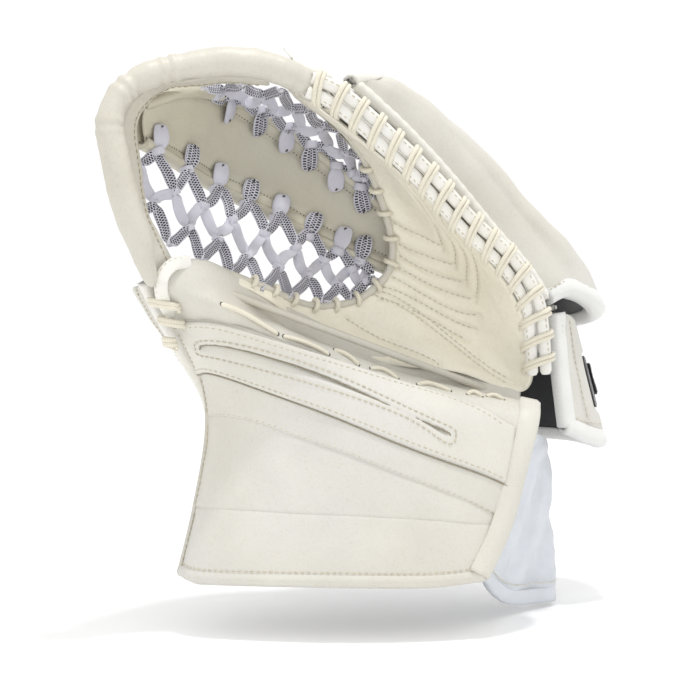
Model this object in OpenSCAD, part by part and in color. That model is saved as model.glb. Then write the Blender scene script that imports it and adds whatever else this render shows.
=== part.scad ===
/* [Leather and padding] */
// Thickness of the outer leather
leather = 1.6; // [1:0.1:2.4]
// Thickness of the lining cloth
lining = 1.2; // [0.8:0.1:2]
// Thickness of the stiff plastic boards
board = 2; // [1:0.5:3]
// Clear space between neighbouring layers
gap = 0.3; // [0.2:0.1:0.6]
// Thickness of the foam in the cuff
cuff_foam_t = 9; // [6:1:12]
// Thickness of the felt behind the palm
palm_felt_t = 4; // [2:1:6]
// Thickness of the foam over the fingers
finger_foam_t = 5; // [3:1:6]
// Thickness of the foam in the backhand pad
pad_foam_t = 6; // [4:1:7]

/* [Bindings and laces] */
// Half the width of the bound edges
binding_r = 3; // [2:0.5:4]
// Radius of the roll around the top of the pocket
rim_r = 8; // [6:0.5:10]
// Radius of the round lacing cord
cord_r = 1.9; // [1.2:0.1:2.4]
// Width of the flat pocket lace
lace_w = 8; // [5:1:9]
// Thickness of the flat pocket lace
lace_t = 1.8; // [1.2:0.1:2]
// Number of lacing turns along the outer edge
perimeter_turns = 17; // [8:1:20]
// Number of lace pairs in the lower half of the pocket
lower_turns = 8; // [4:1:9]
// Number of lace pairs in the upper half of the pocket
upper_turns = 6; // [3:1:7]

/* [Hidden] */

// Outer face of the cuff, rows from the bottom edge to the top seam, thumb side first
cuff_net = [
    [[-123, -32, 36], [-104, -58, 36], [-24, -74, 37], [40, -70, 36], [76, -60, 38]],
    [[-113, -26, 79], [-93, -54, 81], [-21, -68, 79], [43, -64, 75], [91, -52, 69]],
    [[-105, -20, 130], [-83, -48, 133], [-17, -60, 124], [47, -56, 114], [103, -44, 111]],
    [[-109, -28, 168], [-91, -52, 171], [-24, -56, 157], [42, -50, 142], [110, -36, 136]],
    [[-125, -56, 205], [-92, -68, 204], [-30, -54, 182], [42, -38, 157], [112, -22, 146]]
];
// Face between the cuff's top seam and the crease where the glove breaks
heel_net = [
    [[-125, -56, 205], [-92, -68, 204], [-30, -54, 182], [42, -38, 157], [112, -22, 146]],
    [[-128, -70, 216], [-96, -72, 214], [-37, -44, 189], [33, -21, 162], [110, -7, 145]],
    [[-128, -81, 225], [-98, -68, 222], [-44, -30, 193], [23, -3, 164], [104, 6, 142]]
];
// Catching face, from the thumb end round the heel to the fingertips, pocket edge first
palm_net = [
    [[-106, -64, 242], [-105, -66, 239], [-104, -68, 236]],
    [[-69, -38, 226], [-70, -41, 223], [-70, -44, 220]],
    [[-37, -12, 212], [-38, -14, 204], [-38, -21, 197]],
    [[-8, 10, 214], [0, 10, 193], [10, -4, 173]],
    [[12, 18, 229], [34, 24, 196], [60, 4, 166]],
    [[17, 20, 244], [61, 28, 197], [106, 10, 152]],
    [[15, 18, 260], [60, 26, 220], [110, -2, 184]],
    [[6, 12, 279], [50, 16, 250], [92, -18, 225]],
    [[-10, 0, 302], [29, -2, 277], [62, -32, 256]],
    [[-27, -16, 326], [3, -22, 308], [31, -46, 288]],
    [[-43, -34, 345], [-22, -40, 330], [-2, -58, 316]],
    [[-54, -52, 357], [-44, -58, 349], [-35, -66, 341]]
];
// Centre of the roll that rims the pocket, thumb side to fingertips
rim_path = [
    [-142, -95, 258], [-148, -98, 274], [-154, -101, 301], [-158, -100, 326], [-152, -95, 344],
    [-136, -88, 356], [-112, -81, 363], [-86, -77, 366], [-62, -74, 363], [-46, -71, 357]
];
// Leather band inside that roll, outer edge first
band_net = [
    [[-141, -88, 258], [-130, -74, 258]],
    [[-145, -90, 274], [-137, -76, 272]],
    [[-150, -93, 301], [-141, -77, 301]],
    [[-152, -92, 324], [-143, -77, 327]],
    [[-145, -86, 340], [-134, -69, 344]],
    [[-131, -82, 350], [-121, -64, 351]],
    [[-110, -77, 355], [-105, -60, 352]],
    [[-86, -73, 357], [-86, -56, 354]],
    [[-62, -71, 355], [-62, -55, 352]]
];
// Stem of the pocket, rim end to palm end, upper edge first
stem_net = [
    [[-139, -72, 341], [-141, -70, 328], [-139, -72, 315]],
    [[-112, -54, 349], [-121, -42, 329], [-125, -50, 306]],
    [[-86, -12, 346], [-92, 0, 317], [-97, -8, 287]],
    [[-55, 12, 330], [-58, 24, 298], [-65, 14, 271]],
    [[-21, 22, 304], [-22, 30, 276], [-30, 22, 252]],
    [[5, 19, 277], [10, 25, 256], [1, 22, 238]]
];
// Lower pocket lace: edge of the stem, and edge of the palm below it
lower_top = [
    [-134, -70, 311], [-120, -48, 303], [-100, -20, 291], [-78, -2, 281],
    [-56, 11, 272], [-33, 19, 258], [-12, 23, 245], [1, 22, 237]
];
lower_bottom = [
    [-135, -74, 266], [-127, -72, 253], [-112, -67, 244], [-98, -58, 239], [-84, -48, 230], [-68, -39, 221],
    [-54, -26, 216], [-38, -13, 214], [-21, 1, 211], [-6, 12, 216], [8, 19, 227]
];
// Upper pocket lace: edge of the stem, and edge of the rim and palm above it
upper_bottom = [
    [-100, -30, 347], [-77, -4, 340], [-56, 10, 328], [-37, 19, 314], [-16, 23, 297], [4, 20, 280]
];
upper_top = [
    [-104, -56, 351], [-86, -54, 353], [-66, -52, 351], [-50, -46, 348], [-38, -30, 339],
    [-26, -16, 326], [-13, -6, 313], [-3, 4, 298], [6, 12, 283]
];
// Line between the two bound edges that the outer lacing holds together, fingertips to heel
perimeter = [
    [-37, -71, 352], [-24, -66, 347], [-12, -62, 339], [11, -54, 319], [36, -44, 296],
    [64, -30, 266], [92, -16, 240], [109, -6, 214], [114, 2, 187], [116, 8, 164]
];
// Back of the fingers and hand, fingertips to wrist, lacing edge first, round the outside to the thumb side
shell_net = [
    [[-32, -64, 356], [-21, -34, 353], [-25, -8, 345], [-44, 2, 336]],
    [[14, -46, 317], [22, -8, 308], [6, 26, 299], [-14, 36, 288]],
    [[40, -36, 294], [49, 4, 281], [28, 42, 271], [4, 50, 261]],
    [[68, -22, 266], [78, 16, 249], [54, 54, 239], [18, 60, 233]],
    [[96, -8, 238], [104, 26, 220], [80, 62, 211], [31, 70, 203]],
    [[111, 2, 211], [116, 34, 195], [94, 67, 187], [38, 75, 180]],
    [[115, 10, 182], [119, 38, 170], [98, 68, 162], [43, 76, 156]]
];
// Backhand pad over that shell, fingertips to wrist, front edge first
pad_net = [
    [[-10, -38, 359], [-3, -32, 362], [5, -20, 362], [-5, 4, 358], [-35, 20, 346]],
    [[26, -20, 327], [36, -10, 338], [44, 8, 338], [31, 46, 327], [-11, 58, 309]],
    [[56, -6, 296], [72, 6, 303], [85, 24, 301], [69, 68, 287], [11, 74, 269]],
    [[85, 6, 262], [104, 20, 266], [120, 36, 263], [103, 82, 249], [29, 86, 235]],
    [[110, 12, 234], [126, 26, 239], [146, 44, 237], [123, 94, 223], [41, 96, 213]],
    [[123, 14, 213], [142, 26, 220], [164, 50, 205], [141, 104, 197], [51, 104, 195]]
];
// Wrist flap under the pad's lip, top to bottom, front edge first
flap_net = [
    [[128, 20, 204], [138, 29, 203], [142, 44, 199], [125, 75, 197], [87, 84, 195], [49, 86, 191]],
    [[131, 22, 168], [143, 33, 168], [151, 48, 167], [137, 80, 163], [93, 92, 159], [49, 92, 157]],
    [[136, 25, 124], [154, 36, 116], [166, 52, 112], [149, 88, 113], [101, 100, 115], [51, 98, 119]]
];
// Hanging nylon lining of the wrist opening, bottom to top, cuff side first
skirt_net = [
    [[76, -39, 36], [85, -16, 20], [98, 8, 8], [116, 32, 4], [133, 50, 3], [127, 72, 6]],
    [[88, -30, 67], [95, -10, 60], [105, 10, 56], [119, 32, 54], [131, 48, 52], [125, 70, 54]],
    [[102, -18, 109], [108, -2, 108], [114, 14, 106], [121, 30, 104], [128, 44, 101], [123, 66, 101]]
];
// Back of the thumb, tip to wrist, front edge first, round the outside to the pocket side
thumb_net = [
    [[-140, -67, 227], [-150, -56, 224], [-143, -38, 225], [-124, -32, 229]],
    [[-134, -48, 207], [-141, -34, 205], [-131, -14, 210], [-101, -8, 218]],
    [[-123, -28, 181], [-126, -12, 181], [-111, 8, 188], [-75, 14, 200]],
    [[-115, -8, 149], [-114, 8, 149], [-95, 26, 154], [-55, 32, 170]],
    [[-112, -2, 117], [-107, 17, 117], [-87, 36, 120], [-47, 44, 134]]
];
// Leather wall that closes the fingers' side of the pocket, fingertips to knuckles, back first
finger_gusset_net = [
    [[-44, -1, 334], [-46, -14, 339], [-44, -28, 342]],
    [[-14, 32, 288], [-20, 18, 294], [-10, 3, 306]],
    [[5, 46, 261], [0, 38, 264], [15, 26, 276]],
    [[19, 57, 232], [15, 48, 240], [28, 35, 250]],
    [[31, 67, 203], [25, 56, 214], [32, 40, 230]]
];
// Leather wall that closes the thumb's side of the pocket, tip to knuckle, back first
thumb_gusset_net = [
    [[-122, -34, 227], [-122, -46, 229], [-122, -56, 226]],
    [[-99, -10, 216], [-94, -24, 217], [-92, -38, 214]],
    [[-74, 10, 199], [-66, -2, 202], [-60, -18, 198]],
    [[-62, 22, 182], [-52, 12, 186], [-42, -2, 182]]
];
// Lacing cords whose routes don't repeat
thumb_cord = [
    [-137, -70, 216], [-132, -76, 212], [-126, -78, 205], [-128, -70, 198], [-124, -60, 193], [-119, -52, 186]
];
fingertip_outline = [[-53, -67, 375], [-42, -63, 373], [-30, -59, 366],
                     [-22, -57, 356], [-32, -68, 358], [-44, -74, 364]];
hand_strap_path = [
    [16, 24, 178], [20, 40, 180], [36, 52, 178], [60, 56, 172], [84, 50, 166], [98, 34, 160], [100, 24, 158]
];
// Lower end of the pocket's roll, on the thumb
thumb_tip_path = [[-124, -72, 212], [-128, -78, 218], [-132, -83, 226]];
// Ends of the lines about which the pieces move: the break of the palm, the pad, the flap, the lining and the strap
break_line = [[-123, -71, 235], [107, 19, 143]];
pad_line = [[-4, -38, 351], [-30, 18, 338]];
flap_line = [[52, 82, 198], [132, 28, 208]];
skirt_line = [[74, -43, 30], [103, -22, 112]];
strap_line = [[53, 99, 131], [53, 97, 148]];
piping_r = 2.5;

leather_colour = "#efe9d8";
palm_colour = "#e9e1cd";
binding_colour = "#f4f1e8";
cord_colour = "#e8dfc6";
foam_colour = "#d8d8d2";
board_colour = "#55585c";
lining_colour = "#232326";
nylon_colour = "#b9bec6";
lace_colour = "#c9cad2";
strap_colour = "#2b2b2e";

// ---- curves and surfaces -------------------------------------------------

function unit(a) = a / norm(a);
function mix(a, b, t) = a + (b - a) * t;

// Point at t, from 0 to 1, on the smooth curve through the points of p
function along(p, t) =
    let (
        n = len(p) - 1,
        s = min(max(t, 0), 1) * n,
        i = min(floor(s), n - 1),
        f = s - i,
        b = p[i],
        c = p[i + 1],
        a = i > 0 ? p[i - 1] : 2 * b - c,
        d = i < n - 1 ? p[i + 2] : 2 * c - b
    )
    b + f * ((c - a) / 2 + f * (a - 2.5 * b + 2 * c - d / 2 + f * (1.5 * (b - c) + (d - a) / 2)));

// Point at u along and v across the smooth surface through a net of points
function patch(net, u, v) = along([for (row = net) along(row, v)], u);

// The part of that surface between four corners: u from u0 to u1, v from v0 to v1
function area(net, u0 = 0, u1 = 1, v0 = 0, v1 = 1) =
    function (u, v) patch(net, mix(u0, u1, u), mix(v0, v1, v));

function along_u(f, u, v) = unit(f(min(u + 0.02, 1), v) - f(max(u - 0.02, 0), v));
function along_v(f, u, v) = unit(f(u, min(v + 0.02, 1)) - f(u, max(v - 0.02, 0)));
function normal(f, u, v) = unit(cross(along_u(f, u, v), along_v(f, u, v)));

// Point beside a surface's edge: past it by the step [du, dv] in millimetres, and below it by depth
function beside(f, u, v, step, depth) =
    f(u, v) + step[0] * along_u(f, u, v) + step[1] * along_v(f, u, v) + depth * normal(f, u, v);

// A sheet between the depths t0 and t1 along the surface's normal, on a grid of nu by nv cells, of which it
// takes those from low to high, so that layers of one stack share their facets and never cross
module sheet(f, t0, t1, nu = 8, nv = 6, low = [0, 0], high = undef) {
    top = is_undef(high) ? [nu, nv] : high;
    rows = top[0] - low[0];
    cols = top[1] - low[1];
    w = cols + 1;
    count = (rows + 1) * w;
    layers = [for (t = [t0, t1]) for (i = [low[0]:top[0]]) for (j = [low[1]:top[1]])
        f(i / nu, j / nv) + t * normal(f, i / nu, j / nv)];
    cells = [for (i = [0:rows - 1]) for (j = [0:cols - 1]) i * w + j];
    polyhedron(layers, concat(
        [for (a = cells) each [[count + a, count + a + 1, count + a + w + 1],
            [count + a, count + a + w + 1, count + a + w]]],
        [for (a = cells) each [[a, a + w + 1, a + 1], [a, a + w, a + w + 1]]],
        [for (j = [0:cols - 1]) each side(j + 1, j, count)],
        [for (j = [0:cols - 1]) each side(rows * w + j, rows * w + j + 1, count)],
        [for (i = [0:rows - 1]) each side(i * w, (i + 1) * w, count)],
        [for (i = [0:rows - 1]) each side((i + 1) * w + cols, i * w + cols, count)]
    ));
}

// Two triangles that close a sheet along the edge from a to b
function side(a, b, count) = [[count + a, count + b, b], [count + a, b, a]];

// Cords or tapes, each a list of [point, direction across], a by b in half width, in one solid each
module strands(list, a, b, sides = 6) {
    starts = [for (k = 0, s = 0; k < len(list); s = s + len(list[k]) * sides, k = k + 1) s];
    points = [for (cord = list) for (k = [0:len(cord) - 1])
        let (
            t = unit(cord[min(k + 1, len(cord) - 1)][0] - cord[max(k - 1, 0)][0]),
            n = unit(cross(t, cord[k][1])),
            m = cross(t, n)
        )
        for (j = [0:sides - 1]) cord[k][0] + a * cos(360 * j / sides) * n + b * sin(360 * j / sides) * m];
    polyhedron(points, [for (k = [0:len(list) - 1]) each tube_faces(starts[k], len(list[k]), sides)]);
}

function tube_faces(start, rings, sides) = concat(
    [for (k = [0:rings - 2]) for (j = [0:sides - 1])
        let (a = start + k * sides + j, b = start + k * sides + (j + 1) % sides)
        each [[a, a + sides, b + sides], [a, b + sides, b]]],
    [[for (j = [0:sides - 1]) start + j]],
    [[for (j = [0:sides - 1]) start + rings * sides - 1 - j]]
);

// Round cord on a straight line, short of both its ends by a share of its length
module piping(ends, r, short = 0) {
    d = ends[1] - ends[0];
    translate(ends[0] + short * d) rotate([0, acos(d[2] / norm(d)), atan2(d[1], d[0])])
        cylinder(r = r, h = norm(d) * (1 - 2 * short), $fn = 32);
}

function sampled(path, n) = [for (k = [0:n]) along(path, k / n)];
function facing(path, across) = [for (p = path) [p, across]];

// ---- cuff ----------------------------------------------------------------

panel_gap = 0.8;
foam_top = leather + gap;
cuff_foam_top = leather + panel_gap;
board_top = cuff_foam_top + cuff_foam_t + gap;
lining_top = board_top + board + gap;
bottom_seam = 0.235;
middle_seam_left = 0.60;
middle_seam_right = 0.29;
step_left = 0.755;
step_right = 0.42;

// Strip of the cuff between two slanted seams
function between_seams(low_l, low_r, high_l, high_r) =
    function (u, v) patch(cuff_net, mix(mix(low_l, low_r, v), mix(high_l, high_r, v), u), v);

module cuff_bottom_panel() {
    color(leather_colour) sheet(area(cuff_net, 0, bottom_seam), 0, leather, 5, 10);
}

module cuff_middle_panel() {
    color(leather_colour)
        sheet(between_seams(bottom_seam + 0.006, bottom_seam + 0.006, middle_seam_left, middle_seam_right),
            0, leather, 5, 10);
}

module cuff_upper_panel() {
    color(leather_colour)
        sheet(between_seams(middle_seam_left + 0.006, middle_seam_right + 0.006, 1, 1), 0, leather, 8, 10);
}

// Padded panel that stands proud below the top seam
module cuff_raised_panel() {
    color(leather_colour)
        sheet(between_seams(step_left, step_right, 0.99, 0.99), -panel_gap - 3, -panel_gap, 6, 10);
}

module cuff_foam() {
    color(foam_colour) sheet(area(cuff_net), cuff_foam_top, cuff_foam_top + cuff_foam_t, 8, 10, [0, 0], [8, 10]);
}

module cuff_board() {
    color(board_colour) sheet(area(cuff_net), board_top, board_top + board, 8, 10, [1, 1], [7, 9]);
}

module cuff_lining() {
    color(lining_colour) sheet(area(cuff_net), lining_top, lining_top + lining, 8, 10);
}

// Bound edge down the thumb side, along the bottom and up the outer side
module cuff_binding() {
    f = area(cuff_net);
    out = binding_r + gap;
    depth = (lining_top + lining) / 2;
    left = [for (k = [0:5]) [beside(f, 0.94 - 0.86 * k / 5, 0, [0, -out], depth), normal(f, 0.9 - 0.8 * k / 5, 0)]];
    bottom = [for (k = [0:9]) let (v = 0.01 + 0.98 * k / 9)
        [beside(f, 0, v, [-out, 0], depth), normal(f, 0, v)]];
    right = [for (k = [0:5]) let (u = 0.06 + 0.88 * k / 5) [beside(f, u, 1, [0, out], depth), normal(f, u, 1)]];
    color(binding_colour) strands([concat(left, bottom, right)], binding_r, depth + gap, 8);
}

module heel_face() {
    color(leather_colour) sheet(area(heel_net, 0.05, 1), 0, leather, 5, 10);
}

module heel_foam() {
    color(foam_colour) sheet(area(heel_net, 0.05, 1), foam_top, foam_top + 3, 5, 10, [2, 1], [4, 9]);
}

// Round cord sewn in on the line about which the palm breaks away from the cuff
module break_piping() {
    color(binding_colour) piping(break_line, piping_r, 0.06);
}

module heel_lacing() {
    f = area(heel_net);
    path = [for (k = [0:30]) beside(f, 0.62, 0.12 + 0.8 * k / 30, [0, 0], -cord_r - 0.8)];
    color(cord_colour) strands([facing(path, [0, 1, 0])], cord_r, cord_r, 6);
}

// ---- thumb ---------------------------------------------------------------

module thumb_shell() {
    color(leather_colour) sheet(area(thumb_net), 0, leather, 8, 8);
}

module thumb_foam() {
    color(foam_colour) sheet(area(thumb_net), foam_top, foam_top + 4, 8, 8, [1, 0], [8, 8]);
}

module thumb_board() {
    color(board_colour)
        sheet(area(thumb_net), foam_top + 4 + gap, foam_top + 5.5 + gap, 8, 8, [1, 1], [7, 7]);
}

module thumb_lining() {
    color(lining_colour)
        sheet(area(thumb_net), foam_top + 5.5 + 2 * gap, foam_top + 5.5 + 2 * gap + lining, 8, 8, [1, 0], [8, 8]);
}

// Bound edge from the thumb tip down to the wrist
module thumb_binding() {
    f = area(thumb_net);
    edge = [for (k = [0:8]) [beside(f, k / 8, 0, [0, -binding_r - gap], 4), normal(f, k / 8, 0)]];
    color(binding_colour) strands([edge], binding_r, 5, 8);
}

module thumb_gusset() {
    color(palm_colour) sheet(area(thumb_gusset_net), 0, leather, 6, 3);
}

// Lower end of the roll round the pocket, where it is laced to the thumb
module thumb_tip_roll() {
    color(leather_colour) strands([facing(sampled(thumb_tip_path, 5), [0, 1, 0])], 7, 7, 10);
}

module thumb_lacing() {
    color(cord_colour) strands([facing(sampled(thumb_cord, 14), [1, 0, 0])], cord_r, cord_r, 6);
}

// ---- palm and pocket -----------------------------------------------------

module palm_leather() {
    color(palm_colour) sheet(area(palm_net), 0, leather, 22, 6);
}

module palm_felt() {
    color(foam_colour)
        sheet(area(palm_net), leather + gap, leather + gap + palm_felt_t, 22, 6, [5, 1], [17, 5]);
}

module palm_lining() {
    depth = leather + 2 * gap + palm_felt_t;
    color(lining_colour) sheet(area(palm_net), depth, depth + lining, 22, 6, [5, 1], [17, 5]);
}

// Cord whipped round the pocket's edge
module pocket_edge_cord() {
    f = area(palm_net);
    turns = 12;
    loops = [for (k = [0:turns - 1]) let (u = 0.08 + 0.62 * k / (turns - 1)) [
        for (a = [-150:50:100]) [
            beside(f, u, 0, [0, 1 - 4.5 * cos(a)], 0.8 + 4.5 * sin(a)),
            along_u(f, u, 0)
        ]]];
    color(cord_colour) strands(loops, cord_r * 0.9, cord_r * 0.9, 6);
}

module stem_face() {
    color(palm_colour) sheet(area(stem_net), 0, leather, 12, 6);
}

module stem_core() {
    color(foam_colour) sheet(area(stem_net), foam_top, foam_top + 3, 12, 6, [1, 1], [11, 5]);
}

module stem_back() {
    color(palm_colour) sheet(area(stem_net), foam_top + 3 + gap, foam_top + 3 + gap + leather, 12, 6);
}

module rim_roll() {
    color(leather_colour) strands([facing(sampled(rim_path, 26), [0, 1, 0])], rim_r, rim_r, 10);
}

module rim_band() {
    color(leather_colour) sheet(area(band_net), 0, leather, 16, 2);
}

// Lace that zigzags between two edges: one family runs right as it crosses, the other left, on two levels
function net_lace(from, to, turns, sag, way) = [for (k = [0:turns - 1]) [
    for (r = [0:1 / 6:1.001])
        let (
            s = (k + 0.5 + way * 1.5 * r) / turns,
            folded = s < 0 ? -s : s > 1 ? 2 - s : s,
            level = (s < 0 || s > 1 ? -way : way) * (lace_t + gap) / 2,
            p = mix(along(from, folded), along(to, folded), r)
        )
        [p + [0, sag * sin(180 * r) + level, 0], [0, 1, 0]]
]];

module lower_pocket_lace() {
    color(lace_colour)
        strands(concat(net_lace(lower_top, lower_bottom, lower_turns, 5, 1),
            net_lace(lower_top, lower_bottom, lower_turns, 5, -1)), lace_w / 2, lace_t / 2, 6);
}

module upper_pocket_lace() {
    color(lace_colour)
        strands(concat(net_lace(upper_bottom, upper_top, upper_turns, 6, 1),
            net_lace(upper_bottom, upper_top, upper_turns, 6, -1)), lace_w / 2, lace_t / 2, 6);
}

// ---- outer lacing --------------------------------------------------------

// Direction across the perimeter, towards the palm
function towards_palm(t) =
    unit(cross([0, 1, 0], along(perimeter, min(t + 0.02, 1)) - along(perimeter, max(t - 0.02, 0))));

module palm_edge_binding() {
    edge = [for (k = [0:22]) let (t = k / 22) [along(perimeter, t) + 4.5 * towards_palm(t) - [0, 3, 0], [0, 1, 0]]];
    color(binding_colour) strands([edge], 3.6, binding_r, 8);
}

module shell_edge_binding() {
    edge = [for (k = [0:22]) let (t = k / 22) [along(perimeter, t) - 4.5 * towards_palm(t) - [0, 3, 0], [0, 1, 0]]];
    color(binding_colour) strands([edge], 3.6, binding_r, 8);
}

module perimeter_lacing() {
    arch = [[11, 3], [10, -5], [5, -9], [0, -9.5], [-5, -9], [-10, -5], [-11, 3]];
    loops = [for (k = [0:perimeter_turns - 1]) let (t = (k + 0.6) / perimeter_turns) [
        for (q = arch) [
            along(perimeter, t) + q[0] * towards_palm(t) + [0, q[1], 0],
            cross([0, 1, 0], towards_palm(t))
        ]]];
    color(cord_colour) strands(loops, cord_r, cord_r, 6);
}

// ---- fingers and back of the hand ----------------------------------------

module finger_shell() {
    color(leather_colour) sheet(area(shell_net), -leather, 0, 12, 9);
}

module finger_foam() {
    color(foam_colour)
        sheet(area(shell_net), -foam_top - finger_foam_t, -foam_top, 12, 9, [2, 2], [11, 7]);
}

module finger_board() {
    top = foam_top + finger_foam_t + gap;
    color(board_colour) sheet(area(shell_net), -top - board, -top, 12, 9, [6, 3], [10, 6]);
}

module finger_lining() {
    top = foam_top + finger_foam_t + board + 2 * gap;
    color(lining_colour) sheet(area(shell_net), -top - lining, -top, 12, 9, [6, 4], [12, 7]);
}

module finger_gusset() {
    color(palm_colour) sheet(area(finger_gusset_net), 0, leather, 8, 3);
}

// Three walls that part the four finger stalls
module finger_dividers() {
    depth = leather + 3 * gap + palm_felt_t + lining;
    color(lining_colour) for (v = [0.2, 0.34, 0.48]) sheet(
        function (u, w) patch(palm_net, mix(0.5, 0.64, u), v)
            + (depth + w * mix(7, 4, u)) * normal(area(palm_net), mix(0.5, 0.64, u), v),
        0, lining, 6, 2);
}

// Band across the inside that holds the hand to the palm
module hand_strap() {
    color(lining_colour) strands([facing(sampled(hand_strap_path, 12), [0.3, 0, 1])], 1.2, 11, 4);
}

module fingertip_tab() {
    color(binding_colour) hull() for (p = fingertip_outline) translate(p) sphere(r = 1.4, $fn = 10);
}

// ---- backhand pad --------------------------------------------------------

module backhand_cover() {
    color(leather_colour) sheet(area(pad_net), -leather, 0, 12, 10);
}

module backhand_foam() {
    color(foam_colour) sheet(area(pad_net), -foam_top - pad_foam_t, -foam_top, 12, 10);
}

module backhand_lining() {
    top = foam_top + pad_foam_t + gap;
    color(lining_colour) sheet(area(pad_net), -top - lining, -top, 12, 10);
}

// Rolled edge up the front of the pad and round its lip at the wrist
module backhand_binding() {
    f = area(pad_net);
    out = binding_r + gap;
    depth = -(foam_top + pad_foam_t + gap + lining) / 2;
    front = [for (k = [1:9]) [beside(f, k / 10, 0, [0, -out], depth), normal(f, k / 10, 0)]];
    lip = [for (k = [0:10]) let (v = 0.02 + 0.96 * k / 10)
        [beside(f, 1, v, [out, 0], depth), normal(f, 1, v)]];
    color(binding_colour) strands([concat(front, lip)], binding_r, -depth, 8);
}

module backhand_piping() {
    color(binding_colour) piping(pad_line, 1.5, 0.15);
}

// ---- wrist flap and strap ------------------------------------------------

flap_foam_t = 3;

module flap_cover() {
    color(leather_colour) sheet(area(flap_net), -leather, 0, 7, 10);
}

module flap_foam() {
    color(foam_colour) sheet(area(flap_net), -foam_top - flap_foam_t, -foam_top, 7, 10);
}

module flap_lining() {
    top = foam_top + flap_foam_t + gap;
    color(lining_colour) sheet(area(flap_net), -top - lining, -top, 7, 10);
}

// Bound edge down the front of the flap and along its bottom
module flap_binding() {
    f = area(flap_net);
    out = 2.3;
    depth = -(foam_top + flap_foam_t + gap + lining) / 2;
    front = [for (k = [0:5]) [beside(f, 0.9 * k / 5, 0, [0, -out], depth), normal(f, 0.9 * k / 5, 0)]];
    bottom = [for (k = [0:11]) let (v = 0.02 + 0.96 * k / 11)
        [beside(f, 1, v, [out, 0], depth), normal(f, 1, v)]];
    color(binding_colour) strands([concat(front, bottom)], 2, -depth, 8);
}

module flap_piping() {
    color(binding_colour) piping(flap_line, 2, 0.03);
}

// Patch of loop cloth that the strap closes on
module loop_patch() {
    color(lining_colour) sheet(area(flap_net), gap, gap + 1, 14, 20, [6, 7], [11, 14]);
}

// Patch of hook cloth under the strap's free end
module hook_patch() {
    color(lining_colour) sheet(area(flap_net), 2 * gap + 1.2, 2 * gap + 2, 14, 20, [7, 8], [10, 12]);
}

module wrist_strap() {
    color(strap_colour) sheet(area(flap_net), 3 * gap + 2.2, 3 * gap + 4, 14, 20, [7, 8], [10, 19]);
}

// Stitched end about which the strap peels off
module strap_piping() {
    color(strap_colour) piping(strap_line, 1.5);
}

// ---- hanging lining ------------------------------------------------------

module skirt_panel() {
    color(nylon_colour) sheet(area(skirt_net), 0, 3, 8, 10);
}

module skirt_binding() {
    f = area(skirt_net);
    bottom = [for (k = [0:10]) [beside(f, 0, k / 10, [-2.6, 0], 1.5), normal(f, 0, k / 10)]];
    color(binding_colour) strands([bottom], 2.2, 2.2, 8);
}

module skirt_piping() {
    color(nylon_colour) piping(skirt_line, 1.8, 0.05);
}

cuff_bottom_panel();
cuff_middle_panel();
cuff_upper_panel();
cuff_raised_panel();
cuff_foam();
cuff_board();
cuff_lining();
cuff_binding();
heel_face();
heel_foam();
break_piping();
heel_lacing();
thumb_shell();
thumb_foam();
thumb_board();
thumb_lining();
thumb_gusset();
thumb_binding();
thumb_tip_roll();
thumb_lacing();
palm_leather();
palm_felt();
palm_lining();
pocket_edge_cord();
stem_face();
stem_core();
stem_back();
rim_roll();
rim_band();
upper_pocket_lace();
lower_pocket_lace();
palm_edge_binding();
shell_edge_binding();
perimeter_lacing();
finger_shell();
finger_foam();
finger_board();
finger_lining();
finger_gusset();
finger_dividers();
hand_strap();
fingertip_tab();
backhand_cover();
backhand_foam();
backhand_lining();
backhand_binding();
backhand_piping();
flap_cover();
flap_foam();
flap_lining();
flap_binding();
flap_piping();
loop_patch();
wrist_strap();
hook_patch();
strap_piping();
skirt_panel();
skirt_binding();
skirt_piping();
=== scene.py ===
"""Goalie catch glove: its leather, padding, laces and cloth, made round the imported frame. Lengths are
millimetres until a mesh is made."""
import math

import bmesh
import bpy
import numpy as np
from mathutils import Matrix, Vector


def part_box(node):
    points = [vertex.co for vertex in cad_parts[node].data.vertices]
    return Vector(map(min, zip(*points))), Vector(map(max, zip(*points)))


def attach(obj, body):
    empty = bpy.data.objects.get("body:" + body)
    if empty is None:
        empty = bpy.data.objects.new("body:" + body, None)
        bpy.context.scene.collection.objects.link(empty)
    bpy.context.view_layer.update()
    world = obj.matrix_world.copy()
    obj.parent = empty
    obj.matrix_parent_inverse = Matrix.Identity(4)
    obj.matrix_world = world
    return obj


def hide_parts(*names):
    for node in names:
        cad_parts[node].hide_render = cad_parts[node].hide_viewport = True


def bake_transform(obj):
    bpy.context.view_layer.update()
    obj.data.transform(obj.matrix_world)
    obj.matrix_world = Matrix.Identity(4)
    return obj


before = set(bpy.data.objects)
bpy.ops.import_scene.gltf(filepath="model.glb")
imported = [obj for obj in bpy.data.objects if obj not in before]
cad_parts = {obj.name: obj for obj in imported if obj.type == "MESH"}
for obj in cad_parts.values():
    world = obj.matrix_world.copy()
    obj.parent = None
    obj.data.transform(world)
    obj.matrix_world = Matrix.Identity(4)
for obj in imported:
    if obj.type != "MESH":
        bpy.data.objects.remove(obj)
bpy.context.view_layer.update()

MM = 0.001
# Underside of a single leather: its thickness below the surface it lies on
LEATHER = -1.6
WHOLE = (0, 1, 0, 1)
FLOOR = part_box("skirt_binding")[0].z - 0.0005

# ---- the glove's own points ----------------------------------------------------------------------

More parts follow.
